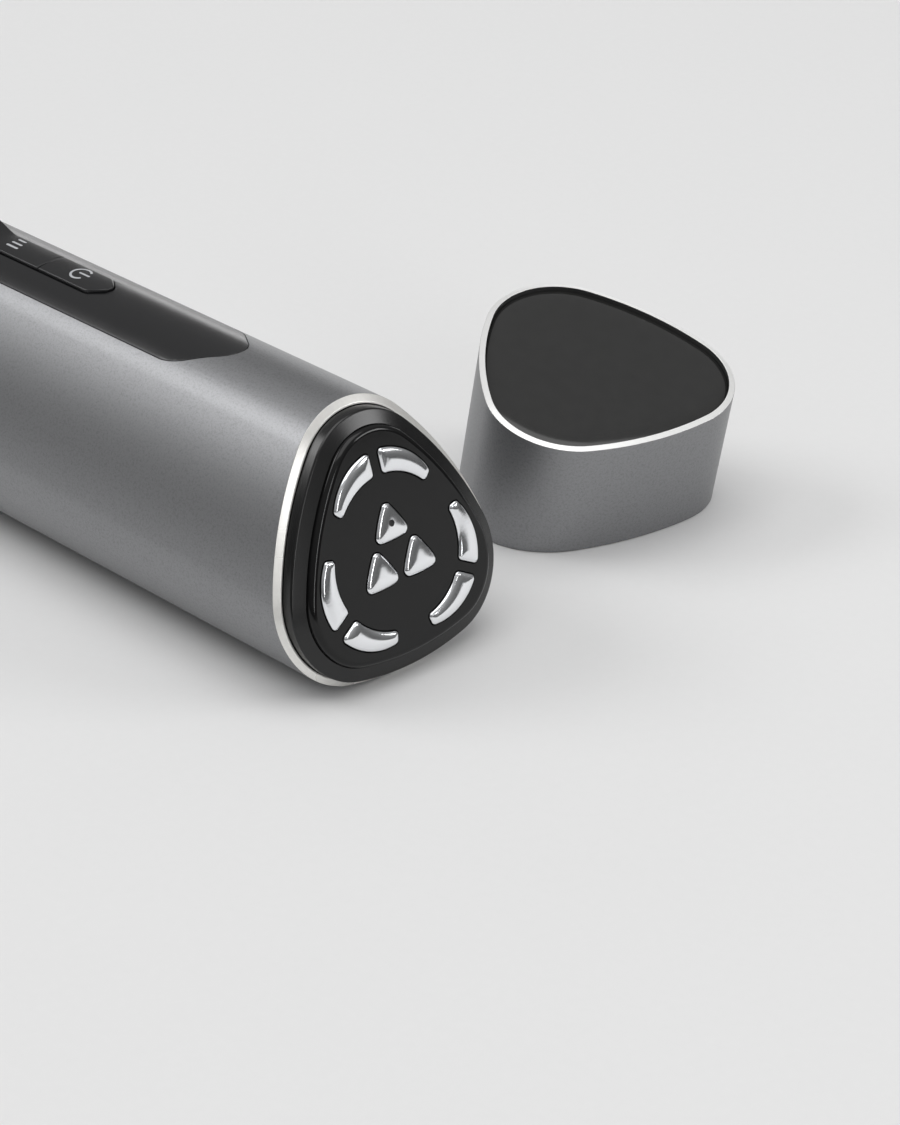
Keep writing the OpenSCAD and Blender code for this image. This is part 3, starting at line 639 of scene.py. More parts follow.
class Piece:
    """A new object of the scene, published from a mesh in millimetres."""

    def __init__(self, name: str, body: Body, slot: Slot, seat: Matrix) -> None:
        """Starts the piece.

        Args:
            name: the object's name.
            body: the body it rides on.
            slot: the record's material slot; not used.
            seat: from the piece's millimetres to the scene's metres.
        """
        self.name = name
        self.body = body
        self.slot = slot
        self.seat = seat
        self.bm = bmesh.new()

    def publish(self, finishes: Sequence[Finish], stands_for: Sequence[str] = (), even: bool = True,
                cutters: Sequence[bpy.types.Object] = (),
                flat_top: Callable[[Vector], bool] | None = None) -> bpy.types.Object:
        """Turns the mesh into an object that rides on its body.

        Args:
            finishes: one finish a material index.
            stands_for: CAD nodes that it replaces.
            even: whether large faces keep their own shading beside rounded edges.
            cutters: objects that are cut out of it, then deleted.
            flat_top: says which points lie on a flat top, whose cut edges are rounded.

        Returns:
            The object.
        """
        mesh = bpy.data.meshes.new(self.name)
        self.bm.transform(self.seat)
        self.bm.to_mesh(mesh)
        self.bm.free()
        piece = put(self.name, mesh)
        for finish in finishes:
            mesh.materials.append(finish.material())
        if cutters:
            carve(piece, cutters)
        if flat_top:
            bm = bmesh.new()
            bm.from_mesh(piece.data)
            round_edges(bm, TOP_ROUND * MM, least=TOP_ANGLE,
                        chosen=lambda e: all(flat_top(v.co) for v in e.verts))
            bm.to_mesh(piece.data)
            bm.free()
        piece.data.shade_smooth()
        piece.data.set_sharp_from_angle(angle=math.radians(CREASE_ANGLE))
        if flat_top:
            for face in piece.data.polygons:
                face.use_smooth = not all(flat_top(piece.data.vertices[k].co) for k in face.vertices)
        if even:
            weighted = piece.modifiers.new("even_shading", "WEIGHTED_NORMAL")
            weighted.keep_sharp = True
        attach(piece, self.body.value)
        if stands_for:
            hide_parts(*stands_for)
        LOG.info("%s: %d faces on %s", self.name, len(piece.data.polygons), self.body.value)
        return piece


def carve(piece: bpy.types.Object, cutters: Sequence[bpy.types.Object]) -> None:
    """Cuts solids out of a piece, and keeps the result in its mesh without slivers.

    Args:
        piece: the object that is cut.
        cutters: the solids, which are deleted.
    """
    for cutter in cutters:
        cut = piece.modifiers.new("cut", "BOOLEAN")
        cut.operation = "DIFFERENCE"
        cut.solver = "EXACT"
        cut.object = cutter
    bpy.context.view_layer.update()
    graph = bpy.context.evaluated_depsgraph_get()
    carved = bpy.data.meshes.new_from_object(piece.evaluated_get(graph))
    piece.modifiers.clear()
    piece.data = carved
    bm = bmesh.new()
    bm.from_mesh(carved)
    bmesh.ops.remove_doubles(bm, verts=bm.verts, dist=WELD)
    bmesh.ops.dissolve_degenerate(bm, edges=bm.edges, dist=WELD)
    bm.to_mesh(carved)
    bm.free()
    for cutter in cutters:
        bpy.data.objects.remove(cutter)


def prism_cutter(draw: Callable[[bmesh.types.BMesh], Ring], height: float, seat: Matrix) -> bpy.types.Object:
    """Makes a straight cutter with a drawn outline.

    Args:
        draw: draws the outline in a mesh.
        height: the cutter's height.
        seat: its place.

    Returns:
        The object.
    """
    bm = bmesh.new()
    lift(bm, [fill(bm, draw(bm))], height)
    return solid_cutter(bm, seat)


def solid_cutter(bm: bmesh.types.BMesh, seat: Matrix) -> bpy.types.Object:
    """Makes a mesh into a plain object for carving.

    Args:
        bm: the mesh, which is freed.
        seat: its place.

    Returns:
        The object.
    """
    bmesh.ops.recalc_face_normals(bm, faces=bm.faces)
    mesh = bpy.data.meshes.new("cutter")
    bm.transform(seat)
    bm.to_mesh(mesh)
    bm.free()
    return put("cutter", mesh)


# Control panel outlines


@dataclass(frozen=True)
class PointedStrip:
    """Flat strip with a rounded point at each end, seen from above the ridge."""

    tail: float
    head: float
    width: float
    corner_r: float
    point_r: float
    point_angle: float = math.radians(34)
    segments: int = 8

    def widened(self, by: float) -> "PointedStrip":
        """The same strip with its edge moved outwards."""
        return replace(self, tail=self.tail - by, head=self.head + by, width=self.width + 2 * by,
                       corner_r=self.corner_r + by, point_r=self.point_r + by)

    def draw(self, bm: bmesh.types.BMesh, height: float = 0.0) -> Ring:
        """Draws the outline with its corners rounded.

        Args:
            bm: the mesh.
            height: its height.

        Returns:
            The ring's edges.
        """
        known = set(bm.edges)
        half = self.width / 2
        over = self.point_r * (1 / math.sin(self.point_angle) - 1)
        run = half / math.tan(self.point_angle)
        head, tail = self.head + over, self.tail - over
        ring = edge_loop(bm, ((head, 0), (head - run, half), (tail + run, half),
                              (tail, 0), (tail + run, -half), (head - run, -half)), height)
        corners = sorted({v for e in ring for v in e.verts}, key=lambda v: (v.co.x, v.co.y))
        for vert in corners:
            at_point = abs(vert.co.y) < half / 2
            radius = self.point_r if at_point else self.corner_r
            turn = math.pi - 2 * self.point_angle if at_point else self.point_angle
            bmesh.ops.bevel(bm, geom=[vert], offset=radius * math.tan(turn / 2), offset_type="OFFSET",
                            segments=self.segments, profile=0.5, affect="VERTICES", material=-1)
        return [e for e in bm.edges if e not in known]


def drape(bm: bmesh.types.BMesh, proud: Callable[[float], float], above: float) -> None:
    """Bends the top of a flat piece over the ridge.

    Args:
        bm: the mesh, whose top lies at height 0.
        proud: height of the top above the ridge's surface, at a place along the handle.
        above: lowest height that still belongs to the top.
    """
    for vert in bm.verts:
        if vert.co.z > above:
            vert.co.z += SECTION.crown(vert.co.y) + proud(vert.co.x)


PANEL_WINDOW = PointedStrip(-151.1, -35.5, 18.0, 11.0, 4.3)
ARCS = 6
ELECTRODES = range(1, ARCS + 4)


# Handle


@dataclass
class HandleTube:
    """Aluminium tube with polished bevels at both ends, partly painted sheen, and a window for the control
    panel.
    """

    length: float = 168.0
    wall: float = 1.5
    bevel_w: float = 1.2
    bevel_h: float = 0.8
    edge_round: float = 0.07
    window: PointedStrip = PANEL_WINDOW
    window_low: float = 18.0
    window_cut: float = 12.0

    def build(self) -> None:
        """Lofts the tube, rounds its edges and cuts the window."""
        piece = Piece("handle_tube", Body.HANDLE, Slot.ALUMINIUM, HANDLE_SEAT)
        stations = (
            Station(self.bevel_w, square_seat(-self.length), 1),
            Station(0, square_seat(self.bevel_h - self.length)),
            Station(0, square_seat(-self.length / 2)),
            Station(0, rim_seat(0), 1),
            Station(self.bevel_w, rim_seat(self.bevel_h), 1),
            Station(self.wall, rim_seat(self.bevel_h)),
            Station(self.wall, square_seat(-self.length / 2)),
            Station(self.wall, square_seat(-self.length), 1),
        )
        loft(piece.bm, SECTION, stations, looped=True)
        round_edges(piece.bm, self.edge_round)
        window = prism_cutter(lambda bm: self.window.draw(bm, self.window_low), self.window_cut, HANDLE_SEAT)
        piece.publish((BLASTED, CUT_EDGE_PAINTED_SHEEN), ["tube_shell"], cutters=[window])


@dataclass
class ElectrodeHead:
    """Stepped black head on the oblique end, with its nine electrodes."""

    collar_in: float = 1.65
    spigot: float = 12.0
    seal_front: float = 0.6
    seal_w: float = 2.2
    seal_d: float = 0.8
    collar_wall: float = 2.0
    collar_round: float = 0.32
    collar_segments: int = 6
    collar_edge: tuple[float, float] = (-0.2, 0.5)
    shoulder_rise: float = 1.0
    shoulder_round: float = 0.12
    ledge_w: float = 1.0
    ledge_t: float = 1.2
    plate_in: float = 4.5
    plate_top: float = 2.4
    plate_t: float = 3.0
    plate_round: float = 1.15
    plate_steps: int = 8
    plate_rings: tuple[float, float] = (0.3, 1.6)
    plate_fit: float = 0.08
    flatness: float = 0.01
    gap: float = 0.15
    window_gap: float = 0.2
    crown_h: float = 0.8
    edge_h: float = 0.2
    crown_edge: float = 0.45
    crown_step: float = 0.18
    crown_rounds: int = 16
    edge_rings: int = 7
    held_rings: int = 4
    arc_half: float = 2.3
    centre: Section = Section(4.2, 1.2, 25.0, 10, 8)
    centre_half: float = 2.5
    foot_in: float = 0.05
    ring_r: float = 5.3
    pair_gap: float = 2.1
    hole_r: float = 0.65
    hole_up: float = 0.45
    hole_z: float = 2.0
    hole_depth: float = 8.0
    hole_sides: int = 32

    def build(self) -> None:
        """Builds the collar, the face plate and the electrodes."""
        self.collar()
        self.plate()
        for number in ELECTRODES:
            self.electrode(number)

    def collar(self) -> None:
        """Lofts the collar with its seal groove, its rounded edge and the ledge behind the plate."""
        piece = Piece("head_collar_moulding", Body.HANDLE, Slot.GLOSS, HANDLE_SEAT)
        groove = self.collar_in + self.seal_d
        inner = self.plate_in - self.gap
        base = self.plate_top - self.plate_t
        stations = (
            Station(self.collar_in, square_seat(-self.spigot)),
            Station(self.collar_in, rim_seat(self.seal_front - self.seal_w)),
            Station(groove, rim_seat(self.seal_front - self.seal_w)),
            Station(groove, rim_seat(self.seal_front)),
            Station(self.collar_in, rim_seat(self.seal_front)),
            Station(self.collar_in, head_seat(0)),
            Station(inner, head_seat(self.shoulder_rise)),
            Station(inner, head_seat(base)),
            Station(self.plate_in + self.ledge_w, head_seat(base)),
            Station(self.plate_in + self.ledge_w, head_seat(base - self.ledge_t)),
            Station(self.collar_in + self.collar_wall, head_seat(base - self.ledge_t)),
            Station(self.collar_in + self.collar_wall, square_seat(-self.spigot)),
        )
        loft(piece.bm, SECTION, stations, looped=True)
        low, high = (COLLAR_X + reach for reach in self.collar_edge)
        round_edges(piece.bm, self.collar_round, self.collar_segments,
                    chosen=lambda e: all(low < self.oblique(v.co) < high for v in e.verts))
        round_edges(piece.bm, self.shoulder_round,
                    chosen=lambda e: all(self.oblique(v.co) > high for v in e.verts))
        piece.publish((COLLAR_BLACK,), ["head_collar"])

    @staticmethod
    def oblique(point: Vector) -> float:
        """Distance of a point along the axis from the plane of the tube's rim."""
        return point.x + point.z * math.tan(TILT)

    def plate(self) -> None:
        """Lofts the face plate and cuts the electrodes' windows, from 1 mm behind it to 1 mm before it."""
        piece = Piece("electrode_face_plate", Body.HANDLE, Slot.GLOSS, HANDLE_SEAT)
        base = self.plate_top - self.plate_t
        side = self.plate_in - self.plate_fit
        top = self.plate_top
        stations = [Station(side, head_seat(base))]
        for step in range(self.plate_steps + 1):
            angle = math.pi / 2 * step / self.plate_steps
            stations.append(Station(side + self.plate_round * (1 - math.cos(angle)),
                                    head_seat(top - self.plate_round * (1 - math.sin(angle)))))
        stations += [Station(side + self.plate_round + further, head_seat(top))
                     for further in self.plate_rings]
        loft(piece.bm, SECTION, stations, looped=False)
        seat = HANDLE_SEAT @ pattern_seat(base - 1)
        cutters = [prism_cutter(lambda bm, number=number: self.electrode_ring(bm, number, self.window_gap),
                                self.plate_t + 2, seat) for number in ELECTRODES]
        flat = (HANDLE_SEAT @ pattern_seat(top)).inverted()
        piece.publish((PIANO_BLACK,), ["face_plate"], even=False, cutters=cutters,
                      flat_top=lambda point: abs((flat @ point).z) < self.flatness)

    def electrode_ring(self, bm: bmesh.types.BMesh, number: int, wider: float = 0.0) -> Ring:
        """Draws one electrode's outline.

        Args:
            bm: the mesh.
            number: its number, the curved ones first.
            wider: distance that the outline is moved outwards.

        Returns:
            The ring's edges.
        """
        if number > ARCS:
            return self.centre_ring(bm, number - ARCS, wider)
        return self.arc_ring(bm, number, wider)

    def arc_ring(self, bm: bmesh.types.BMesh, number: int, wider: float) -> Ring:
        """Draws one curved electrode's outline.

        Args:
            bm: the mesh.
            number: 1 to 6.
            wider: distance that the outline is moved outwards.

        Returns:
            The ring's edges.
        """
        corner, mirrored = divmod(number - 1, 2)
        ring = ArcElectrode(wider=wider, pair_gap=self.pair_gap).draw(bm)
        verts = unique(v for e in ring for v in e.verts)
        if mirrored:
            bmesh.ops.scale(bm, vec=(1, -1, 1), verts=verts)
        turn = Matrix.Rotation(math.radians(90 + 120 * corner), 3, "Z")
        bmesh.ops.rotate(bm, cent=(0, 0, 0), matrix=turn, verts=verts)
        return ring

    def centre_ring(self, bm: bmesh.types.BMesh, number: int, wider: float) -> Ring:
        """Draws one middle electrode's outline.

        Args:
            bm: the mesh.
            number: 1 to 3.
            wider: distance that the outline is moved outwards.

        Returns:
            The ring's edges.
        """
        flat = Matrix(((0, 1, 0, 0), (0, 0, 1, 0), (1, 0, 0, 0), (0, 0, 0, 1)))
        heading = math.radians(90 + 120 * (number - 1))
        shift = Matrix.Translation((self.ring_r * math.cos(heading), self.ring_r * math.sin(heading), 0))
        return self.centre.trace(bm, -wider, shift @ flat)

    def electrode(self, number: int) -> None:
        """Builds one electrode, the first middle one with the sensor's hole.

        Args:
            number: its number, the curved ones first.
        """
        curved = number <= ARCS
        kind, count = ("arc", number) if curved else ("centre", number - ARCS)
        half = self.arc_half if curved else self.centre_half
        piece = Piece(f"chrome_{kind}_{count}", Body.HANDLE, Slot.CHROME, HANDLE_SEAT @ pattern_seat(0))
        self.pillow(piece.bm, self.electrode_ring(piece.bm, number), half)
        cutters = [self.sensor_hole()] if number == ARCS + 1 else []
        piece.publish((CHROME,), [f"{kind}_electrode_{count}"], even=False, cutters=cutters)

    def sensor_hole(self) -> bpy.types.Object:
        """Makes the cutter of the sensor's hole."""
        hole = bmesh.new()
        pin(hole, self.hole_r, self.hole_depth, (0, 0, 0), self.hole_sides)
        place = pattern_seat(0) @ Matrix.Translation((0, self.ring_r + self.hole_up, self.hole_z))
        return solid_cutter(hole, HANDLE_SEAT @ place)

    def crown(self, inwards: float, half: float) -> float:
        """Height of an electrode's crown above the face plate.

        Args:
            inwards: distance from its outline.
            half: half its width.

        Returns:
            The height, steep at the outline and level in the middle.
        """
        left = 1 - min(inwards / half, 1.0)
        edge = 1 - min(inwards / self.crown_edge, 1.0)
        rounding = (self.edge_h + self.foot_in) * math.sqrt(1 - edge**2)
        return rounding + (self.crown_h - self.edge_h) * math.sqrt(1 - left**2)

    def pillow(self, bm: bmesh.types.BMesh, ring: Ring, half: float) -> None:
        """Raises an outline into a crowned button.

        Args:
            bm: the mesh.
            ring: the outline at height 0.
            half: half the electrode's width.
        """
        outline = Outline(ring)
        foot_z = self.plate_top - self.foot_in
        raised = bmesh.ops.extrude_face_region(bm, geom=[fill(bm, ring)])["geom"]
        top = next(g for g in raised if isinstance(g, bmesh.types.BMFace))
        foot = [v for v in bm.verts if v not in top.verts]
        bmesh.ops.translate(bm, vec=(0, 0, self.plate_top - self.plate_t), verts=foot)
        bmesh.ops.translate(bm, vec=(0, 0, foot_z), verts=top.verts[:])
        held: set[bmesh.types.BMVert] = set()
        before = 0.0
        for step in range(1, self.edge_rings + 1):
            inwards = self.crown_edge * (1 - math.cos(math.pi / 2 * step / self.edge_rings))
            bmesh.ops.inset_region(bm, faces=[top], thickness=inwards - before, use_even_offset=True)
            rise = self.crown(inwards, half) - self.crown(before, half)
            bmesh.ops.translate(bm, vec=(0, 0, rise), verts=top.verts[:])
            before = inwards
            if step == self.held_rings:
                held = set(bm.verts)
        border = set(bm.verts)
        region = bmesh.ops.triangulate(bm, faces=[top])["faces"]
        for normal in (Vector((1, 0, 0)), Vector((0, 1, 0))):
            reach = [normal.dot(v.co) for f in region for v in f.verts]
            for position in steps_between(min(reach), max(reach), self.crown_step):
                edges = unique(e for f in region for e in f.edges)
                verts = unique(v for f in region for v in f.verts)
                cut = bmesh.ops.bisect_plane(bm, geom=[*region, *edges, *verts], dist=NEAR,
                                             plane_co=normal * position, plane_no=normal)
                region = [g for g in cut["geom"] if isinstance(g, bmesh.types.BMFace)]
        for vert in set(bm.verts) - border:
            vert.co.z = foot_z + self.crown(outline.distance(vert.co), half)
        free = [v for v in bm.verts if v not in held]
        for _ in range(self.crown_rounds):
            bmesh.ops.smooth_vert(bm, verts=free, factor=0.5, use_axis_x=True, use_axis_y=True,
                                  use_axis_z=True)
        bmesh.ops.recalc_face_normals(bm, faces=bm.faces)


@dataclass(frozen=True)
class ArcElectrode:
    """Outline of the curved electrode on the left hand of a corner's axis, which runs along X."""

    outer_r: float = 12.6
    outer_c: float = 7.1
    inner_r: float = 12.8
    inner_c: float = 2.1
    span: float = math.radians(45)
    pair_gap: float = 2.1
    corner_r: float = 0.9
    wider: float = 0.0
    step: float = 0.16

    def corner(self, circle_c: float, reach: float, far: bool) -> Vector:
        """Centre of a corner's rounding.

        Args:
            circle_c: the edge circle's centre, along X.
            reach: distance from it to the rounding's centre.
            far: whether the corner is at the far end.

        Returns:
            The centre.
        """
        cos, sin = math.cos(self.span), math.sin(self.span)
        heading = Vector((cos, sin, 0)) if far else Vector((1, 0, 0))
        near_aside = Vector((0, self.pair_gap / 2 + self.corner_r, 0))
        aside = Vector((sin, -cos, 0)) * self.corner_r if far else near_aside
        start = aside - Vector((circle_c, 0, 0))
        along = -start.dot(heading) + math.sqrt(start.dot(heading) ** 2 - start.length_squared + reach**2)
        return aside + heading * along

    def draw(self, bm: bmesh.types.BMesh) -> Ring:
        """Draws the outline by spinning a vertex round the centres of its arcs.

        Args:
            bm: the mesh.

        Returns:
            The ring's edges.
        """
        near_out = self.corner(self.outer_c, self.outer_r - self.corner_r, False)
        far_out = self.corner(self.outer_c, self.outer_r - self.corner_r, True)
        far_in = self.corner(self.inner_c, self.inner_r + self.corner_r, True)
        near_in = self.corner(self.inner_c, self.inner_r + self.corner_r, False)
        outer, inner = Vector((self.outer_c, 0, 0)), Vector((self.inner_c, 0, 0))
        round_r = self.corner_r + self.wider
        far_side = Vector((-math.sin(self.span), math.cos(self.span), 0))

        def beside(centre: Vector, away: Vector) -> Vector:
            """A point on a corner's rounding."""
            return centre + away.normalized() * round_r

        known = set(bm.verts)
        pen = bm.verts.new(beside(near_out, Vector((0, -1, 0))))
        legs = (
            (near_out, beside(near_out, near_out - outer), 1),
            (outer, beside(far_out, far_out - outer), 1),
            (far_out, beside(far_out, far_side), 1),
            (None, beside(far_in, far_side), 0),
            (far_in, beside(far_in, inner - far_in), 1),
            (inner, beside(near_in, inner - near_in), -1),
            (near_in, beside(near_in, Vector((0, -1, 0))), 1),
            (None, beside(near_out, Vector((0, -1, 0))), 0),
        )
        for centre, goal, turning in legs:
            pen = self.leg(bm, pen, centre, goal, turning)
        return close_ring(bm, [v for v in bm.verts if v not in known], Matrix.Identity(4))

    def leg(self, bm: bmesh.types.BMesh, pen: bmesh.types.BMVert, centre: Vector | None, goal: Vector,
            turning: int) -> bmesh.types.BMVert:
        """Draws one arc or straight of the outline.

        Args:
            bm: the mesh.
            pen: the vertex where it starts.
            centre: the arc's centre, or None for a straight.
            goal: where it ends.
            turning: 1 for an arc to the left, -1 to the right.

        Returns:
            The vertex where it ends.
        """
        if centre is None:
            moved = bmesh.ops.extrude_vert_indiv(bm, verts=[pen])["verts"][0]
            moved.co = goal
            return moved
        start, end = pen.co - centre, goal - centre
        sweep = (math.atan2(end.y, end.x) - math.atan2(start.y, start.x)) % math.tau
        sweep = sweep if turning > 0 else sweep - math.tau
        steps = max(3, round(abs(sweep) * start.length / self.step))
        spun = bmesh.ops.spin(bm, geom=[pen], cent=centre, axis=(0, 0, 1), angle=sweep, steps=steps)
        return next(g for g in spun["geom_last"] if isinstance(g, bmesh.types.BMVert))


@dataclass
class ControlPanel:
    """Black inlay along the ridge with its tray, three keys and their symbols."""

    window: PointedStrip = PANEL_WINDOW
    strip: PointedStrip = PointedStrip(-134.2, -74.2, 6.8, 2.0, 2.1)
    ends: tuple[float, ...] = (-74.2, -92.6, -114.6, -134.2)
    gap: float = 0.15
    slot_gap: float = 0.2
    thickness: float = 0.8
    inlay_round: float = 0.12
    inlay_half: float = 9.0
    inlay_step: float = 0.6
    key_gap: float = 0.3
    key_proud: float = 0.6
    mode_rise: float = 1.9
    sweep_len: float = 7.0
    fall_len: float = 7.84
    fall_low: float = 0.2
    flange_top: float = 23.3
    flange_t: float = 1.1
    flange_out: float = 0.9
    flange_in: float = 3.4
    flange_lap: float = 0.01
    tray_z: float = 23.5
    tray_out: float = 4.5
    tray_drop: float = 0.4
    tray_end: float = 4.2
    post_foot: float = 18.45
    post_lap: float = 0.5
    post_in: tuple[float, float] = (2.2, 2.0)
    post_r: float = 1.8
    plunger_r: float = 1.3
    plunger_h: float = 0.8
    key_round: float = 0.28
    key_depth: float = 2.0
    key_steps: tuple[float, float] = (0.5, 0.4)
    print_t: float = 0.05
    print_half: float = 3.2
    print_step: float = 0.3
    power_at: tuple[float, float] = (-83.55, 0.32)
    power_r: float = 2.03
    power_open: float = math.radians(40)
    power_steps: int = 48
    power_bar: tuple[float, float, float] = (-0.3, 2.35, 0.08)
    power_stroke: float = 0.48
    level_left: float = -105.05
    level_bars: tuple[tuple[float, float], ...] = ((-1.05, 3.0), (0.35, 2.6), (1.9, 1.9))
    level_stroke: float = 0.52

    def build(self) -> None:
        """Builds the inlay, the keys and their symbols."""
        self.inlay()
        for index, body in enumerate((Body.POWER, Body.LEVEL, Body.MODE)):
            self.key(index, body)
        self.power_symbol()
        self.level_symbol()

    def key_top(self, along: float) -> float:
        """Height of the keys above the ridge.

        Args:
            along: the place along the handle.

        Returns:
            The height, which sweeps up to the mode key and down again behind it.
        """
        rise = smooth_step((self.ends[2] + self.sweep_len - along) / self.sweep_len)
        fall = smooth_step((along - self.ends[3]) / self.fall_len)
        return self.key_proud + self.mode_rise * rise * (self.fall_low + (1 - self.fall_low) * fall)

    def inlay(self) -> None:
        """Builds the inlay round the keys' slot, bent over the ridge, with the tray below it."""
        piece = Piece("control_panel_inlay", Body.HANDLE, Slot.PANEL, HANDLE_SEAT)
        bm = piece.bm
        outer = self.window.widened(-self.gap).draw(bm)
        slot = self.strip.widened(self.slot_gap).draw(bm)
        plate = bmesh.ops.bridge_loops(bm, edges=outer + slot)["faces"]
        bmesh.ops.recalc_face_normals(bm, faces=plate)
        if plate[0].normal.z < 0:
            bmesh.ops.reverse_faces(bm, faces=plate)
        lift(bm, plate, self.thickness)
        bmesh.ops.translate(bm, vec=(0, 0, -self.thickness), verts=bm.verts)
        bmesh.ops.recalc_face_normals(bm, faces=bm.faces)
        round_edges(bm, self.inlay_round, least=TOP_ANGLE, chosen=on_top)
        cut_across(bm, Vector((0, 1, 0)), steps_between(-self.inlay_half, self.inlay_half, self.inlay_step))
        drape(bm, lambda along: 0.0, -self.thickness - 1)
        self.tray(bm)
        piece.publish((SATIN_BLACK,), ["control_panel"])

    def tray(self, bm: bmesh.types.BMesh) -> None:
        """Adds the tray that guides the keys, and its four posts.

        Args:
            bm: the inlay's mesh.
        """
        wide = self.strip.width + 2 * self.tray_out
        length = self.strip.head - self.strip.tail + 2 * self.tray_out
        middle = (self.strip.head + self.strip.tail) / 2
        inner = self.strip.width / 2 + self.slot_gap
        top = SECTION.crown(wide / 2) - self.tray_drop
        bars = [(middle, s * (wide / 2 + inner) / 2, length, wide / 2 - inner) for s in (-1, 1)]
        bars += [(middle + s * (length - self.tray_end) / 2, 0, self.tray_end, 2 * inner) for s in (-1, 1)]
        for x, y, long, broad in bars:
            block(bm, (long, broad, top - self.tray_z), (x, y, (top + self.tray_z) / 2))
        post_top = self.tray_z + self.post_lap
        for along, across in product((-1, 1), repeat=2):
            at = (middle + along * (length / 2 - self.post_in[0]), across * (wide / 2 - self.post_in[1]),
                  (post_top + self.post_foot) / 2)
            pin(bm, self.post_r, post_top - self.post_foot, at)

    def key(self, index: int, body: Body) -> None:
        """Builds one key with its stem, flange and plunger.

        Args:
            index: 0 for the key nearest the head.
            body: the body it rides on, named like its CAD node.
        """
        piece = Piece(body.value.replace("button", "key"), body, Slot.KEY, HANDLE_SEAT)
        bm = piece.bm
        fill(bm, self.strip.draw(bm))
        head = self.ends[index] - (0 if index == 0 else self.key_gap / 2)
        tail = self.ends[index + 1] + (0 if index == 2 else self.key_gap / 2)
        for position, normal in ((head, Vector((1, 0, 0))), (tail, Vector((-1, 0, 0)))):
            bmesh.ops.bisect_plane(bm, geom=bm.verts[:] + bm.edges[:] + bm.faces[:], dist=1e-5,
                                   plane_co=(position, 0, 0), plane_no=normal, clear_outer=True)
        lift(bm, bm.faces[:], self.key_depth)
        bmesh.ops.translate(bm, vec=(0, 0, -self.key_depth), verts=bm.verts)
        bmesh.ops.recalc_face_normals(bm, faces=bm.faces)
        round_edges(bm, self.key_round, 4, TOP_ANGLE, chosen=on_top)
        half = self.strip.width / 2
        cut_across(bm, Vector((0, 1, 0)), steps_between(-half, half, self.key_steps[1]))
        cut_across(bm, Vector((1, 0, 0)), steps_between(tail, head, self.key_steps[0]))
        drape(bm, self.key_top, -self.key_depth / 2)
        for vert in bm.verts:
            if vert.co.z < -self.key_depth / 2:
                vert.co.z = self.flange_top - self.flange_lap
        ends = (max(tail, self.strip.tail + self.flange_in), min(head, self.strip.head - self.flange_in))
        size = (ends[1] - ends[0], self.strip.width + 2 * self.flange_out, self.flange_t)
        block(bm, size, (sum(ends) / 2, 0, self.flange_top - self.flange_t / 2))
        foot_z = self.flange_top - self.flange_t - self.plunger_h / 2
        middle = (self.ends[index] + self.ends[index + 1]) / 2
        pin(bm, self.plunger_r, self.plunger_h, (middle, 0, foot_z))
        piece.publish((SATIN_BLACK,), [body.value])

    def print_symbol(self, piece: Piece) -> None:
        """Gives a flat symbol its thickness and bends it onto its key.

        Args:
            piece: the symbol, drawn at height 0.
        """
        bm = piece.bm
        cut_across(bm, Vector((0, 1, 0)), steps_between(-self.print_half, self.print_half, self.print_step))
        drape(bm, lambda along: self.key_proud - self.print_t / 2, -1)
        lift(bm, bm.faces[:], self.print_t)
        bmesh.ops.recalc_face_normals(bm, faces=bm.faces)
        piece.publish((PRINT_WHITE,), even=False)

    def power_symbol(self) -> None:
        """Draws the broken ring and the bar on the first key."""
        piece = Piece("power_symbol", Body.POWER, Slot.LIGHT, HANDLE_SEAT)
        bm = piece.bm
        centre = Vector((*self.power_at, 0))
        start = Vector((math.cos(self.power_open), math.sin(self.power_open), 0))
        ends = [bm.verts.new(centre + start * (self.power_r + s * self.power_stroke / 2)) for s in (-1, 1)]
        bmesh.ops.spin(bm, geom=[*ends, bm.edges.new(ends)], cent=centre, axis=(0, 0, 1),
                       angle=math.tau - 2 * self.power_open, steps=self.power_steps)
        left, right, across = self.power_bar
        self.bar(bm, centre + Vector((left, across, 0)), centre + Vector((right, across, 0)),
                 self.power_stroke)
        self.print_symbol(piece)

    def level_symbol(self) -> None:
        """Draws three bars of falling length on the second key."""
        piece = Piece("level_symbol", Body.LEVEL, Slot.LIGHT, HANDLE_SEAT)
        for across, length in self.level_bars:
            self.bar(piece.bm, Vector((self.level_left, across, 0)),
                     Vector((self.level_left + length, across, 0)), self.level_stroke)
        self.print_symbol(piece)

    @staticmethod
    def bar(bm: bmesh.types.BMesh, start: Vector, end: Vector, stroke: float) -> None:
        """Draws a flat bar along X with rounded ends.

        Args:
            bm: the mesh.
            start: one end.
            end: the other end.
            stroke: its width.
        """
        half = stroke / 2
        ring = edge_loop(bm, ((start.x - half, start.y - half), (end.x + half, start.y - half),
                              (end.x + half, start.y + half), (start.x - half, start.y + half)))
        bmesh.ops.bevel(bm, geom=fill(bm, ring).verts[:], offset=half * 0.98, offset_type="OFFSET",
                        segments=5, profile=0.5, affect="VERTICES", material=-1)


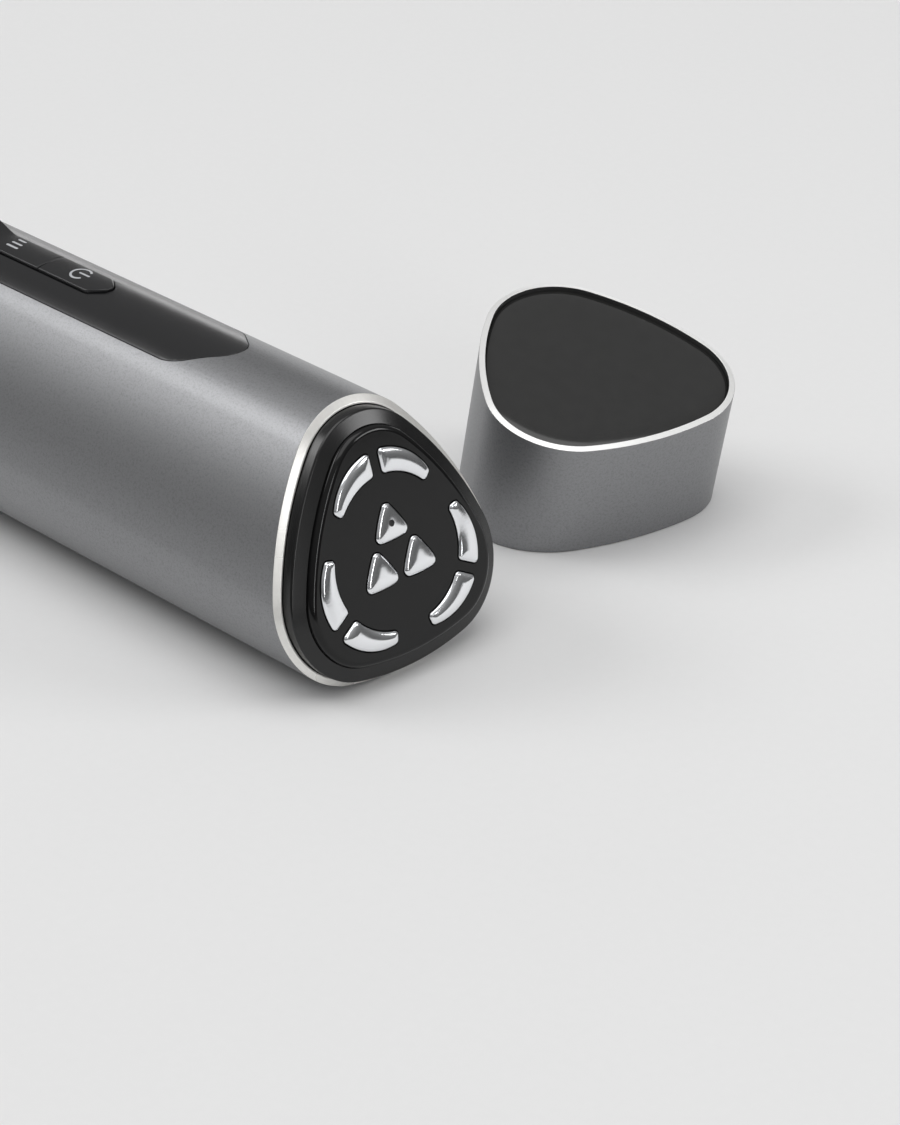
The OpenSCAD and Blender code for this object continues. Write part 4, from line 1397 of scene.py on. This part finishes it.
@dataclass
class Cap:
    """Cap of the same section, standing on its oblique mouth, with the plate in its top."""

    length: float = 31.6
    wall: float = 1.5
    rim: float = 1.2
    bevel_w: float = 1.05
    bevel_h: float = 0.35
    recess: float = 1.7
    recess_w: float = 2.0
    end: float = 1.5
    edge_round: float = 0.07
    gap: float = 0.25
    sunk: float = 0.3
    soft_w: float = 3.6
    soft_h: float = 0.6
    soft_steps: int = 12
    flat_rings: tuple[float, float] = (0.5, 2.0)

    def build(self) -> None:
        """Builds the shell and the plate."""
        self.shell()
        self.plate()

    def shell(self) -> None:
        """Lofts the shell from the floor of its recess over the rim to the inside of its end."""
        piece = Piece("cap_body", Body.CAP, Slot.ALUMINIUM, CAP_SEAT)
        top = self.length
        stations = (
            # The recess floor and wall take the black rubber as painted shade of the gap round the plate.
            Station(self.rim + self.recess_w, square_seat(top - self.recess), 2),
            Station(self.rim, square_seat(top - self.recess), 2),
            Station(self.rim, square_seat(top), 1),
            Station(self.bevel_w, square_seat(top), 1),
            Station(0, square_seat(top - self.bevel_h)),
            Station(0, rim_seat(0)),
            Station(self.wall, rim_seat(0)),
            Station(self.wall, square_seat(top - self.recess - self.end)),
        )
        loft(piece.bm, SECTION, stations, looped=False)
        round_edges(piece.bm, self.edge_round)
        piece.publish((BLASTED, CAP_EDGE_PAINTED_SHEEN, SEAL_RUBBER_AND_GAP_SHADE), ["cap_shell"])

    def plate(self) -> None:
        """Lofts the glossy plate with its soft edge."""
        piece = Piece("cap_top_plate", Body.CAP, Slot.GLOSS, CAP_SEAT)
        inset, top = self.rim + self.gap, self.length - self.sunk
        stations = [Station(inset, square_seat(self.length - self.recess))]
        for step in range(self.soft_steps + 1):
            left = 1 - step / self.soft_steps
            height = top - self.soft_h * left**2
            stations.append(Station(inset + self.soft_w * (1 - left), square_seat(height)))
        stations += [Station(inset + self.soft_w + further, square_seat(top)) for further in self.flat_rings]
        loft(piece.bm, SECTION, stations, looped=False)
        piece.publish((CAP_BLACK,), ["cap_plate"])


# Everything else of the scene


def dress_nodes(nodes: dict[str, bpy.types.Object]) -> None:
    """Gives every CAD node that stays in view its finish.

    Args:
        nodes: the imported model's nodes.
    """
    for name, finish in NODE_FINISHES.items():
        node = nodes[name]
        if not node.material_slots:
            node.data.materials.append(None)
        for slot in node.material_slots:
            slot.material = finish.material()
        LOG.info("%s: %s", name, finish.name)


@dataclass(frozen=True)
class Lamp:
    """Soft rectangular lamp, with its places in metres and its power in watts."""

    name: str
    at: tuple[float, float, float]
    aim: tuple[float, float, float]
    width: float
    height: float
    power: float

    def hang(self) -> None:
        """Adds the lamp, turned towards the point that it faces."""
        data = bpy.data.lights.new(self.name, "AREA")
        data.shape = "RECTANGLE"
        data.size, data.size_y, data.energy = self.width, self.height, self.power
        facing = (Vector(self.aim) - Vector(self.at)).to_track_quat("-Z", "Y").to_matrix().to_4x4()
        put(self.name, data).matrix_world = Matrix.Translation(self.at) @ facing


LAMPS = (
    Lamp("side_softbox", (-1.19, -0.92, 1.30), (0.0, 0.0, 0.03), 0.94, 0.77, 9.8),
    Lamp("top_softbox", (0.15, -0.14, 2.10), (0.05, 0.02, 0.0), 1.87, 1.87, 18.5),
    Lamp("back_softbox", (-1.38, 1.56, 0.22), (0.03, 0.0, 0.03), 1.53, 0.37, 3.5),
    Lamp("head_strip", (1.76, -0.48, 0.70), (0.08, 0.0, 0.03), 0.20, 1.0, 5.0),
    Lamp("front_softbox", (1.34, 1.12, 0.88), (0.08, 0.0, 0.03), 0.85, 0.50, 7.6),
)
FLOOR_PAPER = Finish("floor_paper", (0.78, 0.78, 0.78), 0.0, 0.6, 0.03, 0.99, 2.0, 0.01, 0.02)


@dataclass
class Studio:
    """Pale floor, soft lights and the camera at the photograph's angle."""

    camera_at: tuple[float, float, float] = (474.302, -417.407, 353.395)
    aim: tuple[float, float, float] = (13.583, 5.723, 22.483)
    camera_roll: float = math.radians(0.752)
    focal_px: float = 3909.68
    photo_height: float = 1125.0
    sensor: float = 36.0
    floor_half: float = 3.0
    floor_gap: float = 0.00015
    world_span: tuple[float, float] = (0.08, 0.54)

    def build(self) -> None:
        """Sets up the camera, the floor, the world and the lamps."""
        self.camera()
        self.floor()
        self.world()
        for lamp in LAMPS:
            lamp.hang()
        bpy.context.scene.view_settings.view_transform = "Standard"

    def camera(self) -> None:
        """Places the camera."""
        shift = Vector((*RIM_POINT, 0))
        at = (Vector(self.camera_at) + shift) * MM
        forward = ((Vector(self.aim) + shift) * MM - at).normalized()
        right = forward.cross(Vector((0, 0, 1))).normalized()
        down = forward.cross(right)
        cos, sin = math.cos(self.camera_roll), math.sin(self.camera_roll)
        right, down = cos * right + sin * down, cos * down - sin * right
        data = bpy.data.cameras.new("photo_camera")
        data.sensor_width = self.sensor
        data.sensor_fit = "AUTO"
        data.lens = self.focal_px / self.photo_height * self.sensor
        data.clip_start = 0.01
        camera = put("photo_camera", data)
        camera.matrix_world = Matrix.Translation(at) @ Matrix((right, -down, -forward)).transposed().to_4x4()
        bpy.context.scene.camera = camera

    def floor(self) -> None:
        """Lays the floor."""
        bm = bmesh.new()
        bmesh.ops.create_grid(bm, x_segments=8, y_segments=8, size=self.floor_half)
        bmesh.ops.translate(bm, vec=(0, 0, -self.floor_gap), verts=bm.verts)
        mesh = bpy.data.meshes.new("studio_floor")
        bm.to_mesh(mesh)
        bm.free()
        floor = put("studio_floor", mesh)
        mesh.materials.append(FLOOR_PAPER.material())

    def world(self) -> None:
        """Surrounds the scene with a plain grey that is darker near the horizon than overhead."""
        world = bpy.data.worlds.new("studio_world")
        world.use_nodes = True
        tree = world.node_tree
        tree.nodes.clear()
        out = tree.nodes.new("ShaderNodeOutputWorld")
        light = tree.nodes.new("ShaderNodeBackground")
        light.inputs["Color"].default_value = (1.0, 1.0, 1.0, 1)
        split = tree.nodes.new("ShaderNodeSeparateXYZ")
        rise = map_range(tree, (0.0, 1.0), *self.world_span)
        tree.links.new(tree.nodes.new("ShaderNodeTexCoord").outputs["Generated"], split.inputs["Vector"])
        tree.links.new(split.outputs["Z"], rise.inputs["Value"])
        tree.links.new(rise.outputs["Result"], light.inputs["Strength"])
        tree.links.new(light.outputs["Background"], out.inputs["Surface"])
        bpy.context.scene.world = world


def main() -> None:
    """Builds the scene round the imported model."""
    logging.basicConfig(level=logging.INFO, format="%(message)s")
    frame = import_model()
    Studio().build()
    for assembly in (HandleTube(), ElectrodeHead(), ControlPanel(), Cap()):
        assembly.build()
    dress_nodes(frame["nodes"])


if __name__ == "__main__":
    main()
